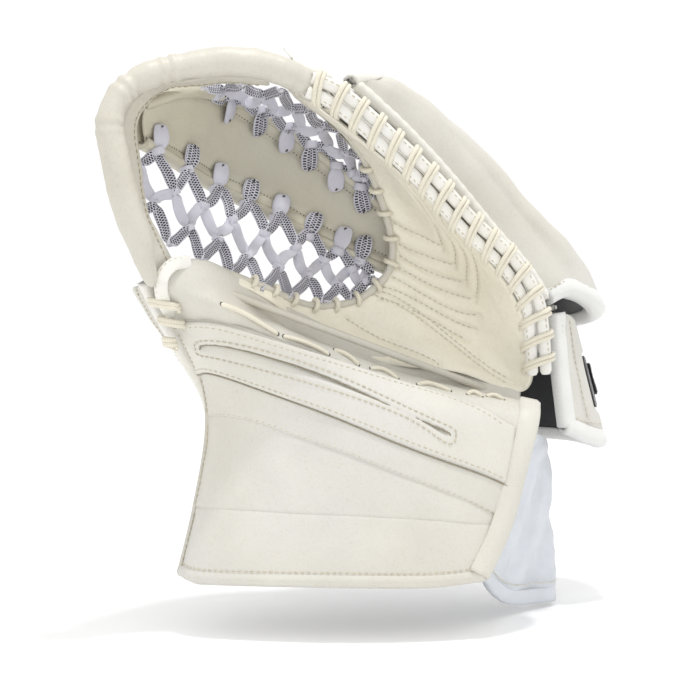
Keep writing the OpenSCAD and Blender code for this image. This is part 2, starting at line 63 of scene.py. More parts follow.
# Outer face of the cuff, rows from the bottom edge to the top seam, thumb side first
CUFF_NET = [
    [[-123, -32, 36], [-104, -58, 36], [-24, -74, 37], [40, -70, 36], [76, -60, 38]],
    [[-113, -26, 79], [-93, -54, 81], [-21, -68, 79], [43, -64, 75], [91, -52, 69]],
    [[-105, -20, 130], [-83, -48, 133], [-17, -60, 124], [47, -56, 114], [103, -44, 111]],
    [[-109, -28, 168], [-91, -52, 171], [-24, -56, 157], [42, -50, 142], [110, -36, 136]],
    [[-125, -56, 205], [-92, -68, 204], [-30, -54, 182], [42, -38, 157], [112, -22, 146]]
]
# Face between the cuff's top seam and the crease where the glove breaks
HEEL_NET = [
    [[-123, -51, 200], [-92, -65, 198.5], [-30, -52, 177], [42, -37, 152.5], [112, -22.5, 142]],
    [[-128, -70, 216], [-96, -72, 214], [-37, -44, 189], [33, -21, 162], [110, -7, 145]],
    [[-128, -81, 225], [-98, -68, 222], [-44, -30, 193], [23, -3, 164], [104, 6, 142]]
]
# Catching face, from the thumb end round the heel to the fingertips, pocket edge first
PALM_NET = [
    [[-106, -64, 242], [-105, -66, 239], [-104, -68, 236]],
    [[-69, -38, 226], [-70, -41, 223], [-70, -44, 220]],
    [[-37, -12, 212], [-38, -14, 204], [-38, -21, 197]],
    [[-8, 10, 214], [0, 10, 193], [10, -4, 173]],
    [[12, 18, 229], [34, 24, 196], [60, 4, 166]],
    [[17, 20, 244], [61, 28, 197], [106, 10, 152]],
    [[15, 18, 260], [60, 26, 220], [110, -2, 184]],
    [[8, 12, 283], [50, 16, 250], [92, -18, 225]],
    [[-5, 0, 311], [30, -2, 279], [62, -32, 256]],
    [[-22, -16, 331], [5, -22, 310], [31, -46, 288]],
    [[-43, -34, 345], [-22, -40, 330], [-2, -58, 316]],
    [[-54, -52, 357], [-44, -58, 349], [-35, -66, 341]]
]
# Centre of the roll that rims the pocket, thumb side to fingertips
RIM_PATH = [
    [-142, -95, 258], [-148, -98, 274], [-154, -101, 301], [-158, -100, 326], [-152, -95, 344],
    [-136, -88, 356], [-112, -81, 363], [-86, -77, 366], [-62, -74, 363], [-46, -71, 357]
]
# Leather band inside that roll, outer edge first
BAND_NET = [
    [[-141, -88, 258], [-130, -74, 258]],
    [[-145, -90, 274], [-137, -76, 272]],
    [[-150, -93, 301], [-141, -77, 301]],
    [[-152, -92, 324], [-143, -77, 327]],
    [[-145, -86, 340], [-134, -69, 344]],
    [[-131, -82, 350], [-121, -64, 351]],
    [[-110, -77, 355], [-105, -60, 352]],
    [[-86, -73, 357], [-86, -56, 354]],
    [[-62, -71, 355], [-62, -55, 352]]
]
# Stem of the pocket, rim end to palm end, upper edge first
STEM_NET = [
    [[-139, -72, 341], [-141, -70, 328], [-139, -72, 315]],
    [[-112, -54, 349], [-121, -42, 329], [-125, -50, 306]],
    [[-86, -12, 346], [-92, 0, 317], [-97, -8, 287]],
    [[-55, 12, 330], [-58, 24, 298], [-65, 14, 271]],
    [[-21, 22, 304], [-22, 30, 276], [-30, 22, 252]],
    [[12, 22, 276], [22, 32, 252], [23, 32, 228]]
]
# Lower pocket lace: edge of the stem, and edge of the palm below it
LOWER_TOP = [
    [-143, -76, 316], [-121, -50, 303], [-100, -20, 291], [-78, -2, 281],
    [-56, 11, 272], [-33, 19, 258], [-12, 23, 245], [1, 22, 237]
]
LOWER_BOTTOM = [
    [-146, -80, 274], [-129, -73, 255], [-112, -67, 244], [-98, -58, 239], [-84, -48, 230], [-68, -39, 221],
    [-54, -26, 216], [-38, -13, 214], [-21, 1, 211], [-6, 12, 216], [8, 19, 227]
]
# Upper pocket lace: edge of the stem, and edge of the rim and palm above it
UPPER_BOTTOM = [
    [-100, -30, 347], [-77, -4, 340], [-56, 10, 328], [-37, 19, 314], [-16, 23, 297], [4, 20, 280]
]
UPPER_TOP = [
    [-104, -56, 351], [-86, -54, 353], [-66, -52, 351], [-50, -46, 348], [-38, -30, 339],
    [-22, -15, 331], [-10, -5, 319], [0, 4, 304], [7, 12, 286]
]
# Line between the two bound edges that the outer lacing holds together, fingertips to heel
PERIMETER = [
    [-37, -71, 352], [-24, -66, 347], [-12, -62, 339], [11, -54, 319], [36, -44, 296],
    [64, -30, 266], [92, -16, 240], [109, -6, 214], [114, 2, 187], [116, 8, 164]
]
# Back of the fingers and hand, fingertips to wrist, lacing edge first, round the outside to the thumb
# side
SHELL_NET = [
    [[-32, -64, 356], [-21, -34, 353], [-20, -8, 348], [-24, 2, 343]],
    [[14, -46, 317], [22, -8, 308], [8, 26, 303], [-3, 36, 308]],
    [[40, -36, 294], [49, 4, 281], [28, 42, 272], [8, 50, 272]],
    [[68, -22, 266], [78, 16, 249], [54, 54, 239], [18, 60, 233]],
    [[96, -8, 238], [104, 26, 220], [80, 62, 211], [31, 70, 203]],
    [[111, 2, 211], [116, 34, 195], [94, 67, 187], [38, 75, 180]],
    [[115, 10, 182], [119, 38, 170], [98, 68, 162], [43, 76, 156]]
]
# Backhand pad over that shell, fingertips to wrist, front edge first
PAD_NET = [
    [[-10, -38, 359], [-3, -32, 362], [5, -20, 362], [-5, 4, 358], [-29, 20, 350]],
    [[26, -20, 327], [36, -10, 338], [44, 8, 338], [31, 46, 327], [-3, 58, 315]],
    [[56, -6, 296], [72, 6, 303], [85, 24, 301], [69, 68, 287], [11, 74, 269]],
    [[85, 6, 262], [104, 20, 266], [120, 36, 263], [103, 82, 249], [29, 86, 235]],
    [[110, 12, 234], [126, 26, 239], [146, 44, 237], [123, 94, 223], [41, 96, 213]],
    [[123, 14, 213], [142, 26, 220], [164, 50, 205], [141, 104, 197], [51, 104, 195]]
]
# Wrist flap under the pad's lip, top to bottom, front edge first
FLAP_NET = [
    [[128, 20, 204], [138, 29, 203], [142, 44, 199], [125, 75, 197], [87, 84, 195], [49, 86, 191]],
    [[131, 22, 168], [143, 33, 168], [151, 48, 167], [137, 80, 163], [93, 92, 159], [49, 92, 157]],
    [[136, 25, 124], [154, 36, 116], [166, 52, 112], [149, 88, 113], [101, 100, 115], [51, 98, 119]]
]
# Hanging nylon lining of the wrist opening, bottom to top, cuff side first
SKIRT_NET = [
    [[76, -39, 36], [85, -16, 20], [98, 8, 8], [116, 32, 4], [133, 50, 3], [127, 72, 6]],
    [[88, -30, 67], [95, -10, 60], [105, 10, 56], [119, 32, 54], [131, 48, 52], [125, 70, 54]],
    [[102, -18, 109], [108, -2, 108], [114, 14, 106], [121, 30, 104], [128, 44, 101], [123, 66, 101]],
    [[106, -12, 128], [111, 1, 126], [116, 14, 123], [121, 29, 120], [126, 42, 116], [122, 62, 114]]
]
# Back of the thumb, tip to wrist, front edge first, round the outside to the pocket side
THUMB_NET = [
    [[-140, -67, 227], [-150, -56, 224], [-143, -38, 225], [-124, -32, 229]],
    [[-134, -48, 207], [-141, -34, 205], [-131, -14, 210], [-101, -8, 218]],
    [[-123, -28, 181], [-126, -12, 181], [-111, 8, 188], [-75, 14, 200]],
    [[-108, -8, 149], [-107, 8, 149], [-91, 26, 154], [-55, 32, 170]],
    [[-103, -2, 117], [-99, 17, 117], [-83, 36, 120], [-47, 44, 134]]
]
# Leather wall that closes the fingers' side of the pocket, fingertips to knuckles, back first
FINGER_GUSSET_NET = [
    [[-24, 0, 342], [-27, -12, 341], [-34, -26, 340]],
    [[-3, 32, 307], [-4, 18, 311], [-3, 4, 309]],
    [[9, 46, 270], [9, 36, 274], [15, 26, 276]],
    [[19, 57, 232], [15, 48, 240], [28, 35, 250]],
    [[31, 67, 203], [25, 56, 214], [32, 40, 230]]
]
# Leather wall that closes the thumb's side of the pocket, tip to knuckle, back first
THUMB_GUSSET_NET = [
    [[-122, -34, 227], [-122, -46, 229], [-122, -56, 226]],
    [[-99, -10, 216], [-94, -24, 217], [-92, -38, 214]],
    [[-74, 10, 199], [-66, -2, 202], [-60, -18, 198]],
    [[-62, 22, 182], [-52, 12, 186], [-42, -2, 182]]
]
# Outline of the tab beside the fingertips
FINGERTIP_OUTLINE = [
    [-53, -67, 375], [-42, -63, 373], [-30, -59, 366], [-22, -57, 356], [-32, -68, 358], [-44, -74, 364]
]
# Middle of the band across the back of the hand
HAND_STRAP_PATH = [
    [16, 24, 178], [20, 40, 180], [36, 52, 178], [60, 56, 172], [84, 50, 166], [98, 34, 160], [100, 24, 158]
]
# Ends of the lines about which the pieces move: the break of the palm, the pad, the flap, the lining
# and the strap
BREAK_LINE = [[-123, -71, 235], [107, 19, 143]]
PAD_LINE = [[-4, -38, 351], [-30, 18, 338]]
FLAP_LINE = [[52, 82, 198], [132, 28, 208]]
SKIRT_LINE = [[74, -43, 30], [103, -22, 112]]
STRAP_LINE = [[53, 99, 131], [53, 97, 148]]

# ---- curves and surfaces -------------------------------------------------------------------------


def unit(a):
    return a / np.maximum(np.linalg.norm(a, axis=-1, keepdims=True), 1e-9)


def along(points, t):
    """Points at t, from 0 to 1, on the smooth curve through the given points (or through rows of
    points)."""
    p = np.asarray(points, float)
    p = np.concatenate([[2 * p[0] - p[1]], p, [2 * p[-1] - p[-2]]])
    t = np.atleast_1d(np.asarray(t, float))
    s = np.clip(t, 0, 1) * (len(p) - 3)
    i = np.minimum(np.floor(s).astype(int), len(p) - 4)
    f = (s - i).reshape((-1,) + (1,) * (p.ndim - 1))
    a, b, c, d = p[i], p[i + 1], p[i + 2], p[i + 3]
    return b + f * ((c - a) / 2 + f * (a - 2.5 * b + 2 * c - d / 2 + f * (1.5 * (b - c) + (d - a) / 2)))


def travel(p):
    """Length travelled along a line of points, up to each of them."""
    return np.concatenate([[0], np.cumsum(np.linalg.norm(np.diff(p, axis=0), axis=1))])


def even(path, step):
    """The path's own curve, sampled every step millimetres."""
    p = along(path, np.linspace(0, 1, 40 * len(path)))
    length = travel(p)
    at = np.linspace(0, length[-1], max(int(round(length[-1] / step)), 2) + 1)
    return np.stack([np.interp(at, length, p[:, k]) for k in range(p.shape[1])], -1)


class Surface:
    """Smooth surface through a net of points. side is 1 where the net's normal points out of the glove,
    or -1."""

    def __init__(self, net, side):
        self.net = np.array(net, float)
        self.side = side

    def at(self, u, v):
        u, v = np.broadcast_arrays(np.asarray(u, float), np.asarray(v, float))
        shape = u.shape
        u, v = u.ravel(), v.ravel()
        rows = np.stack([along(row, v) for row in self.net])
        p = np.concatenate([[2 * rows[0] - rows[1]], rows, [2 * rows[-1] - rows[-2]]])
        s = np.clip(u, 0, 1) * (len(self.net) - 1)
        i = np.minimum(np.floor(s).astype(int), len(self.net) - 2)
        f = (s - i)[:, None]
        k = np.arange(len(u))
        a, b, c, d = p[i, k], p[i + 1, k], p[i + 2, k], p[i + 3, k]
        out = b + f * ((c - a) / 2 + f * (a - 2.5 * b + 2 * c - d / 2 + f * (1.5 * (b - c) + (d - a) / 2)))
        return out.reshape(shape + (3,))

    def normal(self, u, v, h=0.02):
        """Direction out of the glove."""
        du = self.at(np.minimum(u + h, 1), v) - self.at(np.maximum(u - h, 0), v)
        dv = self.at(u, np.minimum(v + h, 1)) - self.at(u, np.maximum(v - h, 0))
        return self.side * unit(np.cross(unit(du), unit(dv)))

    def raised(self, u, v, lift):
        u, v = np.asarray(u, float), np.asarray(v, float)
        return self.at(u, v) + np.asarray(lift)[..., None] * self.normal(u, v)


def across(path, v):
    """u of a path in u and v that runs from one side of a surface to the other, where it crosses v."""
    q = along(path, np.linspace(0, 1, 200))
    order = np.argsort(q[:, 1])
    return np.interp(v, q[order, 1], q[order, 0])


def shifted(surface, path, mm):
    """A path in u and v, moved sideways over the surface by mm: to its left as seen from outside."""
    q = along(path, np.linspace(0, 1, 12 * len(path)))
    u, v = q[:, 0], q[:, 1]
    h = 0.01
    du = (np.clip(u + h, 0, 1) - np.clip(u - h, 0, 1))[:, None]
    pu = (surface.at(u + h, v) - surface.at(u - h, v)) / du
    dv = (np.clip(v + h, 0, 1) - np.clip(v - h, 0, 1))[:, None]
    pv = (surface.at(u, v + h) - surface.at(u, v - h)) / dv
    sideways = mm * unit(np.cross(surface.normal(u, v), tangents(surface.at(u, v))))
    a, b, c = (pu * pu).sum(-1), (pu * pv).sum(-1), (pv * pv).sum(-1)
    x, y = (sideways * pu).sum(-1), (sideways * pv).sum(-1)
    scale = a * c - b * b
    moved = np.stack([u + (c * x - b * y) / scale, v + (a * y - b * x) / scale], -1)
    return np.clip(moved, 0, 1)


def distance(points, line):
    """Distance of each point from a line of points."""
    best = np.full(points.shape[:-1], 1e9)
    for a, b in zip(line[:-1], line[1:]):
        d = b - a
        t = np.clip(((points - a) @ d) / max(d @ d, 1e-12), 0, 1)
        best = np.minimum(best, np.linalg.norm(points - a - t[..., None] * d, axis=-1))
    return best


def smooth(x, low, high):
    t = np.clip((x - low) / (high - low), 0, 1)
    return t * t * (3 - 2 * t)


def waves(p, seed, size, count=10):
    """Soft irregular unevenness from -1 to 1 over about size millimetres."""
    r = np.random.default_rng(seed)
    total = 0
    for _ in range(count):
        d = unit(r.normal(size=3)) * r.uniform(0.6, 1.5) * 2 * math.pi / size
        total = total + np.sin(p @ d + r.uniform(0, 6.28))
    return total / math.sqrt(count) / 1.5


# ---- meshes --------------------------------------------------------------------------------------


def mesh_object(name, verts, faces, material, uv=None, flat=False):
    """A piece from points in millimetres. uv is one pair for each corner of each face, in the faces'
    order."""
    mesh = bpy.data.meshes.new(name)
    mesh.from_pydata([tuple(p) for p in np.asarray(verts, float) * MM], [],
                     [tuple(map(int, f)) for f in faces])
    mesh.polygons.foreach_set("use_smooth", [not flat] * len(mesh.polygons))
    if uv is not None:
        layer = mesh.uv_layers.new(name="UVMap")
        layer.data.foreach_set("uv", np.asarray(uv, np.float32).ravel())
    mesh.materials.append(material)
    mesh.validate()
    mesh.update()
    obj = bpy.data.objects.new(name, mesh)
    bpy.context.scene.collection.objects.link(obj)
    return obj


def grid_faces(rows, cols, start=0, wrap=False):
    """Faces of a grid of points, rows by cols. wrap joins the last column to the first."""
    i, j = np.meshgrid(np.arange(rows - 1), np.arange(cols if wrap else cols - 1), indexing="ij")
    k = (j + 1) % cols
    quads = np.stack([i * cols + j, (i + 1) * cols + j, (i + 1) * cols + k, i * cols + k], -1)
    return quads.reshape(-1, 4) + start


class Skin:
    """A sheet of material on a surface, between two heights above it, closed and rounded at its edges.
    seams is a list of (path in u and v, depth, width) that press into its top. The underside of a limp
    sheet follows its top."""

    def __init__(self, surface, area=(0, 1, 0, 1), top=0.0, bottom=-1.6, step=2.0, crown=0.0,
                 crown_width=12.0,
                 rounding=2.0, seams=(), extra=None, sides=None, limp=False):
        self.s = surface
        self.area = area
        self.sides = sides
        self.limp = limp
        self.top, self.bottom, self.crown, self.crown_width = top, bottom, crown, crown_width
        self.rounding = rounding
        self.extra = extra
        self.seams = [(self.s.at(*even(path, 0.01 if len(path[0]) > 2 else 0.02).T[:2]), depth, width)
                      for path, depth, width in seams]
        self.step = step

    def uv(self, a, b):
        """Surface coordinates of the share a and b, from 0 to 1, of the sheet's own area."""
        u0, u1, v0, v1 = self.area
        v = v0 + (v1 - v0) * b
        if self.sides:
            low, high = (across(path, v) for path in self.sides)
            return low + (high - low) * a, v
        return u0 + (u1 - u0) * a, v

    def edge(self, p):
        """Distance of each point of the grid p from the grid's border, along its own lines."""
        du = np.linalg.norm(np.diff(p, axis=0), axis=-1)
        dv = np.linalg.norm(np.diff(p, axis=1), axis=-1)
        zero = np.zeros((1, p.shape[1]))
        from_start = np.concatenate([zero, np.cumsum(du, 0)])
        from_end = np.concatenate([np.cumsum(du[::-1], 0)[::-1], zero])
        zero = np.zeros((p.shape[0], 1))
        from_left = np.concatenate([zero, np.cumsum(dv, 1)], 1)
        from_right = np.concatenate([np.cumsum(dv[:, ::-1], 1)[:, ::-1], zero], 1)
        return np.minimum(np.minimum(from_start, from_end), np.minimum(from_left, from_right))

    def lift(self, p, u, v, edge):
        """Height of the top above the surface."""
        height = np.full(u.shape, float(self.top))
        nearest = edge
        for line, depth, width in self.seams:
            d = distance(p, line)
            height = height - depth * np.exp(-((d / width) ** 2))
            if self.crown:
                nearest = np.minimum(nearest, d)
        if self.crown:
            height = height + self.crown * (1 - np.exp(-nearest / self.crown_width))
        if self.extra is not None:
            height = height + self.extra(p, u, v, edge)
        return height

    def make(self, name, material):
        probe = self.s.at(*self.uv(np.linspace(0, 1, 12)[:, None], np.linspace(0, 1, 12)[None, :]))
        rows = int(np.linalg.norm(np.diff(probe, axis=0), axis=-1).sum(0).max() / self.step) + 2
        cols = int(np.linalg.norm(np.diff(probe, axis=1), axis=-1).sum(1).max() / self.step) + 2
        a, b = np.meshgrid(np.linspace(0, 1, rows), np.linspace(0, 1, cols), indexing="ij")
        u, v = self.uv(a, b)
        p, n = self.s.at(u, v), self.s.normal(u, v)
        edge = self.edge(p)
        middle = (self.top + self.bottom) / 2
        profile = np.sqrt(1 - (1 - np.clip(edge / self.rounding, 0, 1)) ** 2) * 0.96 + 0.04
        height = middle + (self.lift(p, u, v, edge) - middle) * profile
        depth = middle + (self.bottom - middle) * profile
        if self.limp:
            depth = height - (self.top - self.bottom) * profile
        outer, inner = p + height[..., None] * n, p + depth[..., None] * n
        verts = np.concatenate([outer.reshape(-1, 3), inner.reshape(-1, 3)])
        half = rows * cols
        faces = grid_faces(rows, cols)
        border = np.concatenate([np.arange(cols), np.arange(1, rows) * cols + cols - 1,
                                 (rows - 1) * cols + np.arange(cols - 2, -1, -1),
                                 np.arange(rows - 2, 0, -1) * cols])
        after = np.roll(border, -1)
        side = np.stack([border, after, after + half, border + half], -1)
        other = grid_faces(rows, cols, half)[:, ::-1]
        faces = np.concatenate([faces, other, side[:, ::-1]])
        if self.s.side < 0:
            faces = faces[:, ::-1]
        return mesh_object(name, verts, faces, material, self.uvs(u, v, p, faces, half))

    def uvs(self, u, v, p, faces, half):
        """Lengths along the sheet, in centimetres, for weaves and prints."""
        du = np.concatenate([np.zeros((1, p.shape[1])),
                             np.cumsum(np.linalg.norm(np.diff(p, axis=0), axis=-1), 0)])
        dv = np.concatenate([np.zeros((p.shape[0], 1)),
                             np.cumsum(np.linalg.norm(np.diff(p, axis=1), axis=-1), 1)], 1)
        flat = np.stack([du.ravel(), dv.ravel()], -1) / 10
        return np.concatenate([flat, flat])[faces.ravel()]

    def on_top(self, path, above=0.0, step=1.0):
        """Points on the sheet's top along a path in u and v, with the directions out of it there."""
        q = even(path, 0.005)
        p = self.s.at(q[:, 0], q[:, 1])
        lengths = travel(p)
        at = np.linspace(0, lengths[-1], max(int(lengths[-1] / step), 2) + 1)
        u, v = np.interp(at, lengths, q[:, 0]), np.interp(at, lengths, q[:, 1])
        p, n = self.s.at(u, v), self.s.normal(u, v)
        height = self.lift(p, u, v, np.full(u.shape, 8.0)) + above
        return p + height[:, None] * n, n


def tangents(p):
    return unit(np.gradient(p, axis=0))


def sweep(name, pieces, material, sides=12):
    """One object of several tubes. Each is (points, direction across, half widths a and b, twist): a is
    along the direction across, b square to it, and both may vary along the tube."""
    verts, faces, uv = [], [], []
    start = 0
    angle = np.linspace(0, 2 * math.pi, sides, endpoint=False)
    for points, across, a, b, twist, power in pieces:
        p = np.asarray(points, float)
        t = tangents(p)
        across = np.broadcast_to(np.asarray(across, float), p.shape)
        m = unit(across - (across * t).sum(-1, keepdims=True) * t)
        n = np.cross(t, m)
        twist = np.broadcast_to(np.asarray(twist, float), (len(p),))[:, None]
        m, n = np.cos(twist) * m + np.sin(twist) * n, np.cos(twist) * n - np.sin(twist) * m
        a = np.broadcast_to(np.asarray(a, float), (len(p),))[:, None, None]
        b = np.broadcast_to(np.asarray(b, float), (len(p),))[:, None, None]
        c = np.sign(np.cos(angle)) * np.abs(np.cos(angle)) ** power
        s = np.sign(np.sin(angle)) * np.abs(np.sin(angle)) ** power
        ring = p[:, None] + a * c[None, :, None] * m[:, None] + b * s[None, :, None] * n[:, None]
        verts.append(ring.reshape(-1, 3))
        verts.append(p[[0, -1]])
        rows = len(p)
        quads = grid_faces(rows, sides, start, wrap=True)[:, ::-1]
        length = travel(p) / 10
        around = np.arange(sides) / sides
        i, j = np.meshgrid(np.arange(rows - 1), np.arange(sides), indexing="ij")
        corner = np.stack([np.stack([length[i], around[j] + 1 / sides], -1),
                           np.stack([length[i + 1], around[j] + 1 / sides], -1),
                           np.stack([length[i + 1], around[j]], -1),
                           np.stack([length[i], around[j]], -1)], 2)
        faces.extend(quads.tolist())
        uv.append(corner.reshape(-1, 2))
        last = start + (rows - 1) * sides
        poles = start + rows * sides
        for j in range(sides):
            k = (j + 1) % sides
            faces.append([poles, start + j, start + k])
            faces.append([poles + 1, last + k, last + j])
        uv.append(np.zeros((sides * 6, 2)))
        start += rows * sides + 2
    return mesh_object(name, np.concatenate(verts), faces, material, np.concatenate(uv))


def tube(points, across=(0, 1, 0), a=2.0, b=None, twist=0.0, power=1.0):
    return points, across, a, a if b is None else b, twist, power


def tapered(radius, count, ends=0.35):
    """Radius of a cord that closes off softly at both ends."""
    t = np.linspace(0, 1, count)
    closing = np.sqrt(1 - (1 - np.clip(np.minimum(t, 1 - t) * count / 2.5, ends, 1)) ** 2)
    return radius * np.clip(closing, 0.25, 1)


def wrap(name, frames, profile, material):
    """A closed profile, in millimetres inwards from an edge and outwards from its face, swept along the
    edge."""
    p, inward, out = frames
    profile = np.asarray(profile, float)
    ring = p[:, None] + profile[None, :, :1] * inward[:, None] + profile[None, :, 1:] * out[:, None]
    rows, sides = ring.shape[:2]
    faces = grid_faces(rows, sides, 0, wrap=True)
    verts = np.concatenate([ring.reshape(-1, 3), ring[0].mean(0)[None], ring[-1].mean(0)[None]])
    length = travel(p) / 10
    girth = travel(profile) / 10
    uv = np.stack([np.repeat(length, sides), np.tile(girth, rows)], -1)
    ends = []
    for j in range(sides):
        k = (j + 1) % sides
        ends.append([rows * sides, j, k])
        ends.append([rows * sides + 1, (rows - 1) * sides + k, (rows - 1) * sides + j])
    loops = [tuple(f) for f in faces] + [tuple(f) for f in ends]
    corners = np.concatenate([uv[faces.ravel()], np.zeros((len(ends) * 3, 2))])
    obj = mesh_object(name, verts, loops, material, corners)
    outwards(obj)
    return obj


def outwards(obj):
    """Turns every face of a closed piece outwards."""
    work = bmesh.new()
    work.from_mesh(obj.data)
    bmesh.ops.recalc_face_normals(work, faces=work.faces)
    work.to_mesh(obj.data)
    work.free()


def edge_frames(surface, path, step=2.5):
    """Places along an edge of a surface, each with the directions into the sheet and out of its
    face."""
    q = even(path, 0.004)
    p = surface.at(q[:, 0], q[:, 1])
    lengths = travel(p)
    at = np.linspace(0, lengths[-1], max(int(lengths[-1] / step), 2) + 1)
    u, v = np.interp(at, lengths, q[:, 0]), np.interp(at, lengths, q[:, 1])
    p, n = surface.at(u, v), surface.normal(u, v)
    inward = unit(np.cross(n, tangents(p)))
    if ((surface.at(0.5, 0.5) - p) * inward).sum() < 0:
        inward = -inward
    return p, inward, n


def band(front, back, thick, top, under, bulge=3.0):
    """Profile of a leather strip folded over an edge: front and back are how far it reaches in on each
    face."""
    outer = [(front, top + 0.2), (front - 1, top + thick), (1, top + thick + 0.6), (-bulge * 0.6, top + 0.2),
             (-bulge, (top + under) / 2 + 1.5), (-bulge, (top + under) / 2 - 1.5),
             (-bulge * 0.6, under - 0.2),
             (1, under - thick - 0.4), (back - 1, under - thick), (back, under - 0.2)]
    inner = [(back, under + 0.1), (2, under + 0.3), (0, (top + under) / 2), (2, top - 0.3),
             (front, top - 0.1)]
    return outer + inner


class Thread:
    """Sewing thread: every stitch added to it is one small raised lozenge in a shared mesh."""

    def __init__(self):
        self.verts, self.faces, self.count = [], [], 0

    def row(self, points, normals, length=2.9, gap=1.2, width=0.48, height=0.42, phase=0.0):
        lengths = travel(points)
        pitch = length + gap
        count = int((lengths[-1] - phase) / pitch)
        if count < 1:
            return
        at = phase + (np.arange(count) + 0.5) * pitch
        p = np.stack([np.interp(at, lengths, points[:, k]) for k in range(3)], -1)
        ahead = np.stack([np.interp(at + 0.4, lengths, points[:, k]) for k in range(3)], -1)
        n = unit(np.stack([np.interp(at, lengths, normals[:, k]) for k in range(3)], -1))
        t = unit(ahead - p)
        w = np.cross(n, t)
        template, faces = [], []
        for s, r in ((-0.5, 0.35), (-0.3, 0.9), (0, 1.0), (0.3, 0.9), (0.5, 0.35)):
            for k in range(6):
                a = 2 * math.pi * k / 6
                template.append((s * length, r * width * math.cos(a),
                                 r * height * math.sin(a) - (1 - r) * 0.3))
        for i in range(4):
            for k in range(6):
                m = (k + 1) % 6
                faces.append((i * 6 + k, i * 6 + m, (i + 1) * 6 + m, (i + 1) * 6 + k))
        faces += [tuple(range(5, -1, -1))]
        faces += [tuple(range(24, 30))]
        template = np.array(template)
        all_points = (p[:, None] + template[None, :, :1] * t[:, None] + template[None, :, 1:2] * w[:, None]
                      + template[None, :, 2:] * n[:, None])
        for block in all_points:
            self.verts.append(block)
            self.faces.extend([tuple(x + self.count for x in f) for f in faces])
            self.count += len(block)

    def make(self, name, material):
        return mesh_object(name, np.concatenate(self.verts), self.faces, material)

# ---- materials -----------------------------------------------------------------------------------


def linear(*rgb):
    """A colour given from 0 to 255 as it looks on a screen."""
    return tuple((c / 255 / 12.92 if c <= 10 else ((c / 255 + 0.055) / 1.055) ** 2.4) for c in rgb) + (1.0,)


def shade_of(colour, factor):
    return tuple(c * factor for c in colour[:3]) + (1.0,)


def shades(colour, *factors):
    return [shade_of(colour, factor) for factor in factors]


class Material:
    """A Principled material and a short way to add nodes to it."""

    def __init__(self, name, colour, roughness, **sockets):
        self.material = bpy.data.materials.new(name)
        self.material.use_nodes = True
        self.material.diffuse_color = colour
        self.tree = self.material.node_tree
        self.shader = self.tree.nodes["Principled BSDF"]
        self.shader.inputs["Base Color"].default_value = colour
        self.shader.inputs["Roughness"].default_value = roughness
        for socket, value in sockets.items():
            self.shader.inputs[socket.replace("_", " ")].default_value = value
        self.place = self.add("ShaderNodeTexCoord").outputs["Object"]
        self.flat = self.add("ShaderNodeTexCoord").outputs["UV"]
        self.height = None

    def add(self, kind, inputs=None, **settings):
        node = self.tree.nodes.new(kind)
        for key, value in settings.items():
            setattr(node, key, value)
        for key, value in (inputs or {}).items():
            if isinstance(value, bpy.types.NodeSocket):
                self.tree.links.new(value, node.inputs[key])
            else:
                node.inputs[key].default_value = value
        return node

    def math(self, operation, a, b=0.5, clamp=False):
        return self.add("ShaderNodeMath", {0: a, 1: b}, operation=operation, use_clamp=clamp).outputs[0]

    def noise(self, scale, detail=3.0, rough=0.55, at=None):
        inputs = {"Vector": at or self.place, "Scale": scale, "Detail": detail, "Roughness": rough}
        return self.add("ShaderNodeTexNoise", inputs).outputs["Fac"]

    def cells(self, scale, feature="F1", at=None):
        inputs = {"Vector": at or self.place, "Scale": scale}
        return self.add("ShaderNodeTexVoronoi", inputs, feature=feature).outputs["Distance"]

    def ramp(self, value, *stops):
        """A colour ramp through (position, colour) stops."""
        node = self.add("ShaderNodeValToRGB", {"Fac": value})
        elements = node.color_ramp.elements
        for k, (position, colour) in enumerate(stops):
            element = elements[k] if k < 2 else elements.new(position)
            element.position = position
            element.color = colour
        return node.outputs["Color"]

    def mix(self, factor, a, b, blend_type="MIX"):
        node = self.add("ShaderNodeMix", {0: factor}, data_type="RGBA", blend_type=blend_type)
        for socket, value in ((node.inputs[6], a), (node.inputs[7], b)):
            if isinstance(value, bpy.types.NodeSocket):
                self.tree.links.new(value, socket)
            else:
                socket.default_value = value
        return node.outputs[2]

    def colour(self, value):
        self.tree.links.new(value, self.shader.inputs["Base Color"])

    def roughness(self, value, low, high):
        node = self.add("ShaderNodeMapRange", {"Value": value, "To Min": low, "To Max": high})
        self.tree.links.new(node.outputs[0], self.shader.inputs["Roughness"])

    def bump(self, height, distance, strength=1.0):
        """One more layer of relief, distance in millimetres."""
        inputs = {"Height": height, "Distance": distance * MM, "Strength": strength}
        if self.height is not None:
            inputs["Normal"] = self.height
        self.height = self.add("ShaderNodeBump", inputs).outputs["Normal"]
        self.tree.links.new(self.height, self.shader.inputs["Normal"])

    def wave(self, per_cm, axis, angle=0.0):
        """Ribs from 0 to 1 along the length ("X") or across ("Y") of a piece's own flat pattern."""
        parts = self.add("ShaderNodeSeparateXYZ", {0: self.flat})
        x = self.math("MULTIPLY", parts.outputs["X"], math.cos(angle))
        y = self.math("MULTIPLY", parts.outputs["Y"], math.sin(angle))
        value = self.math("ADD", x, y) if axis == "X" else parts.outputs["Y"]
        turned = self.math("MULTIPLY", value, per_cm * 2 * math.pi)
        return self.math("MULTIPLY", self.math("ADD", self.math("SINE", turned, 0.0), 1.0), 0.5)


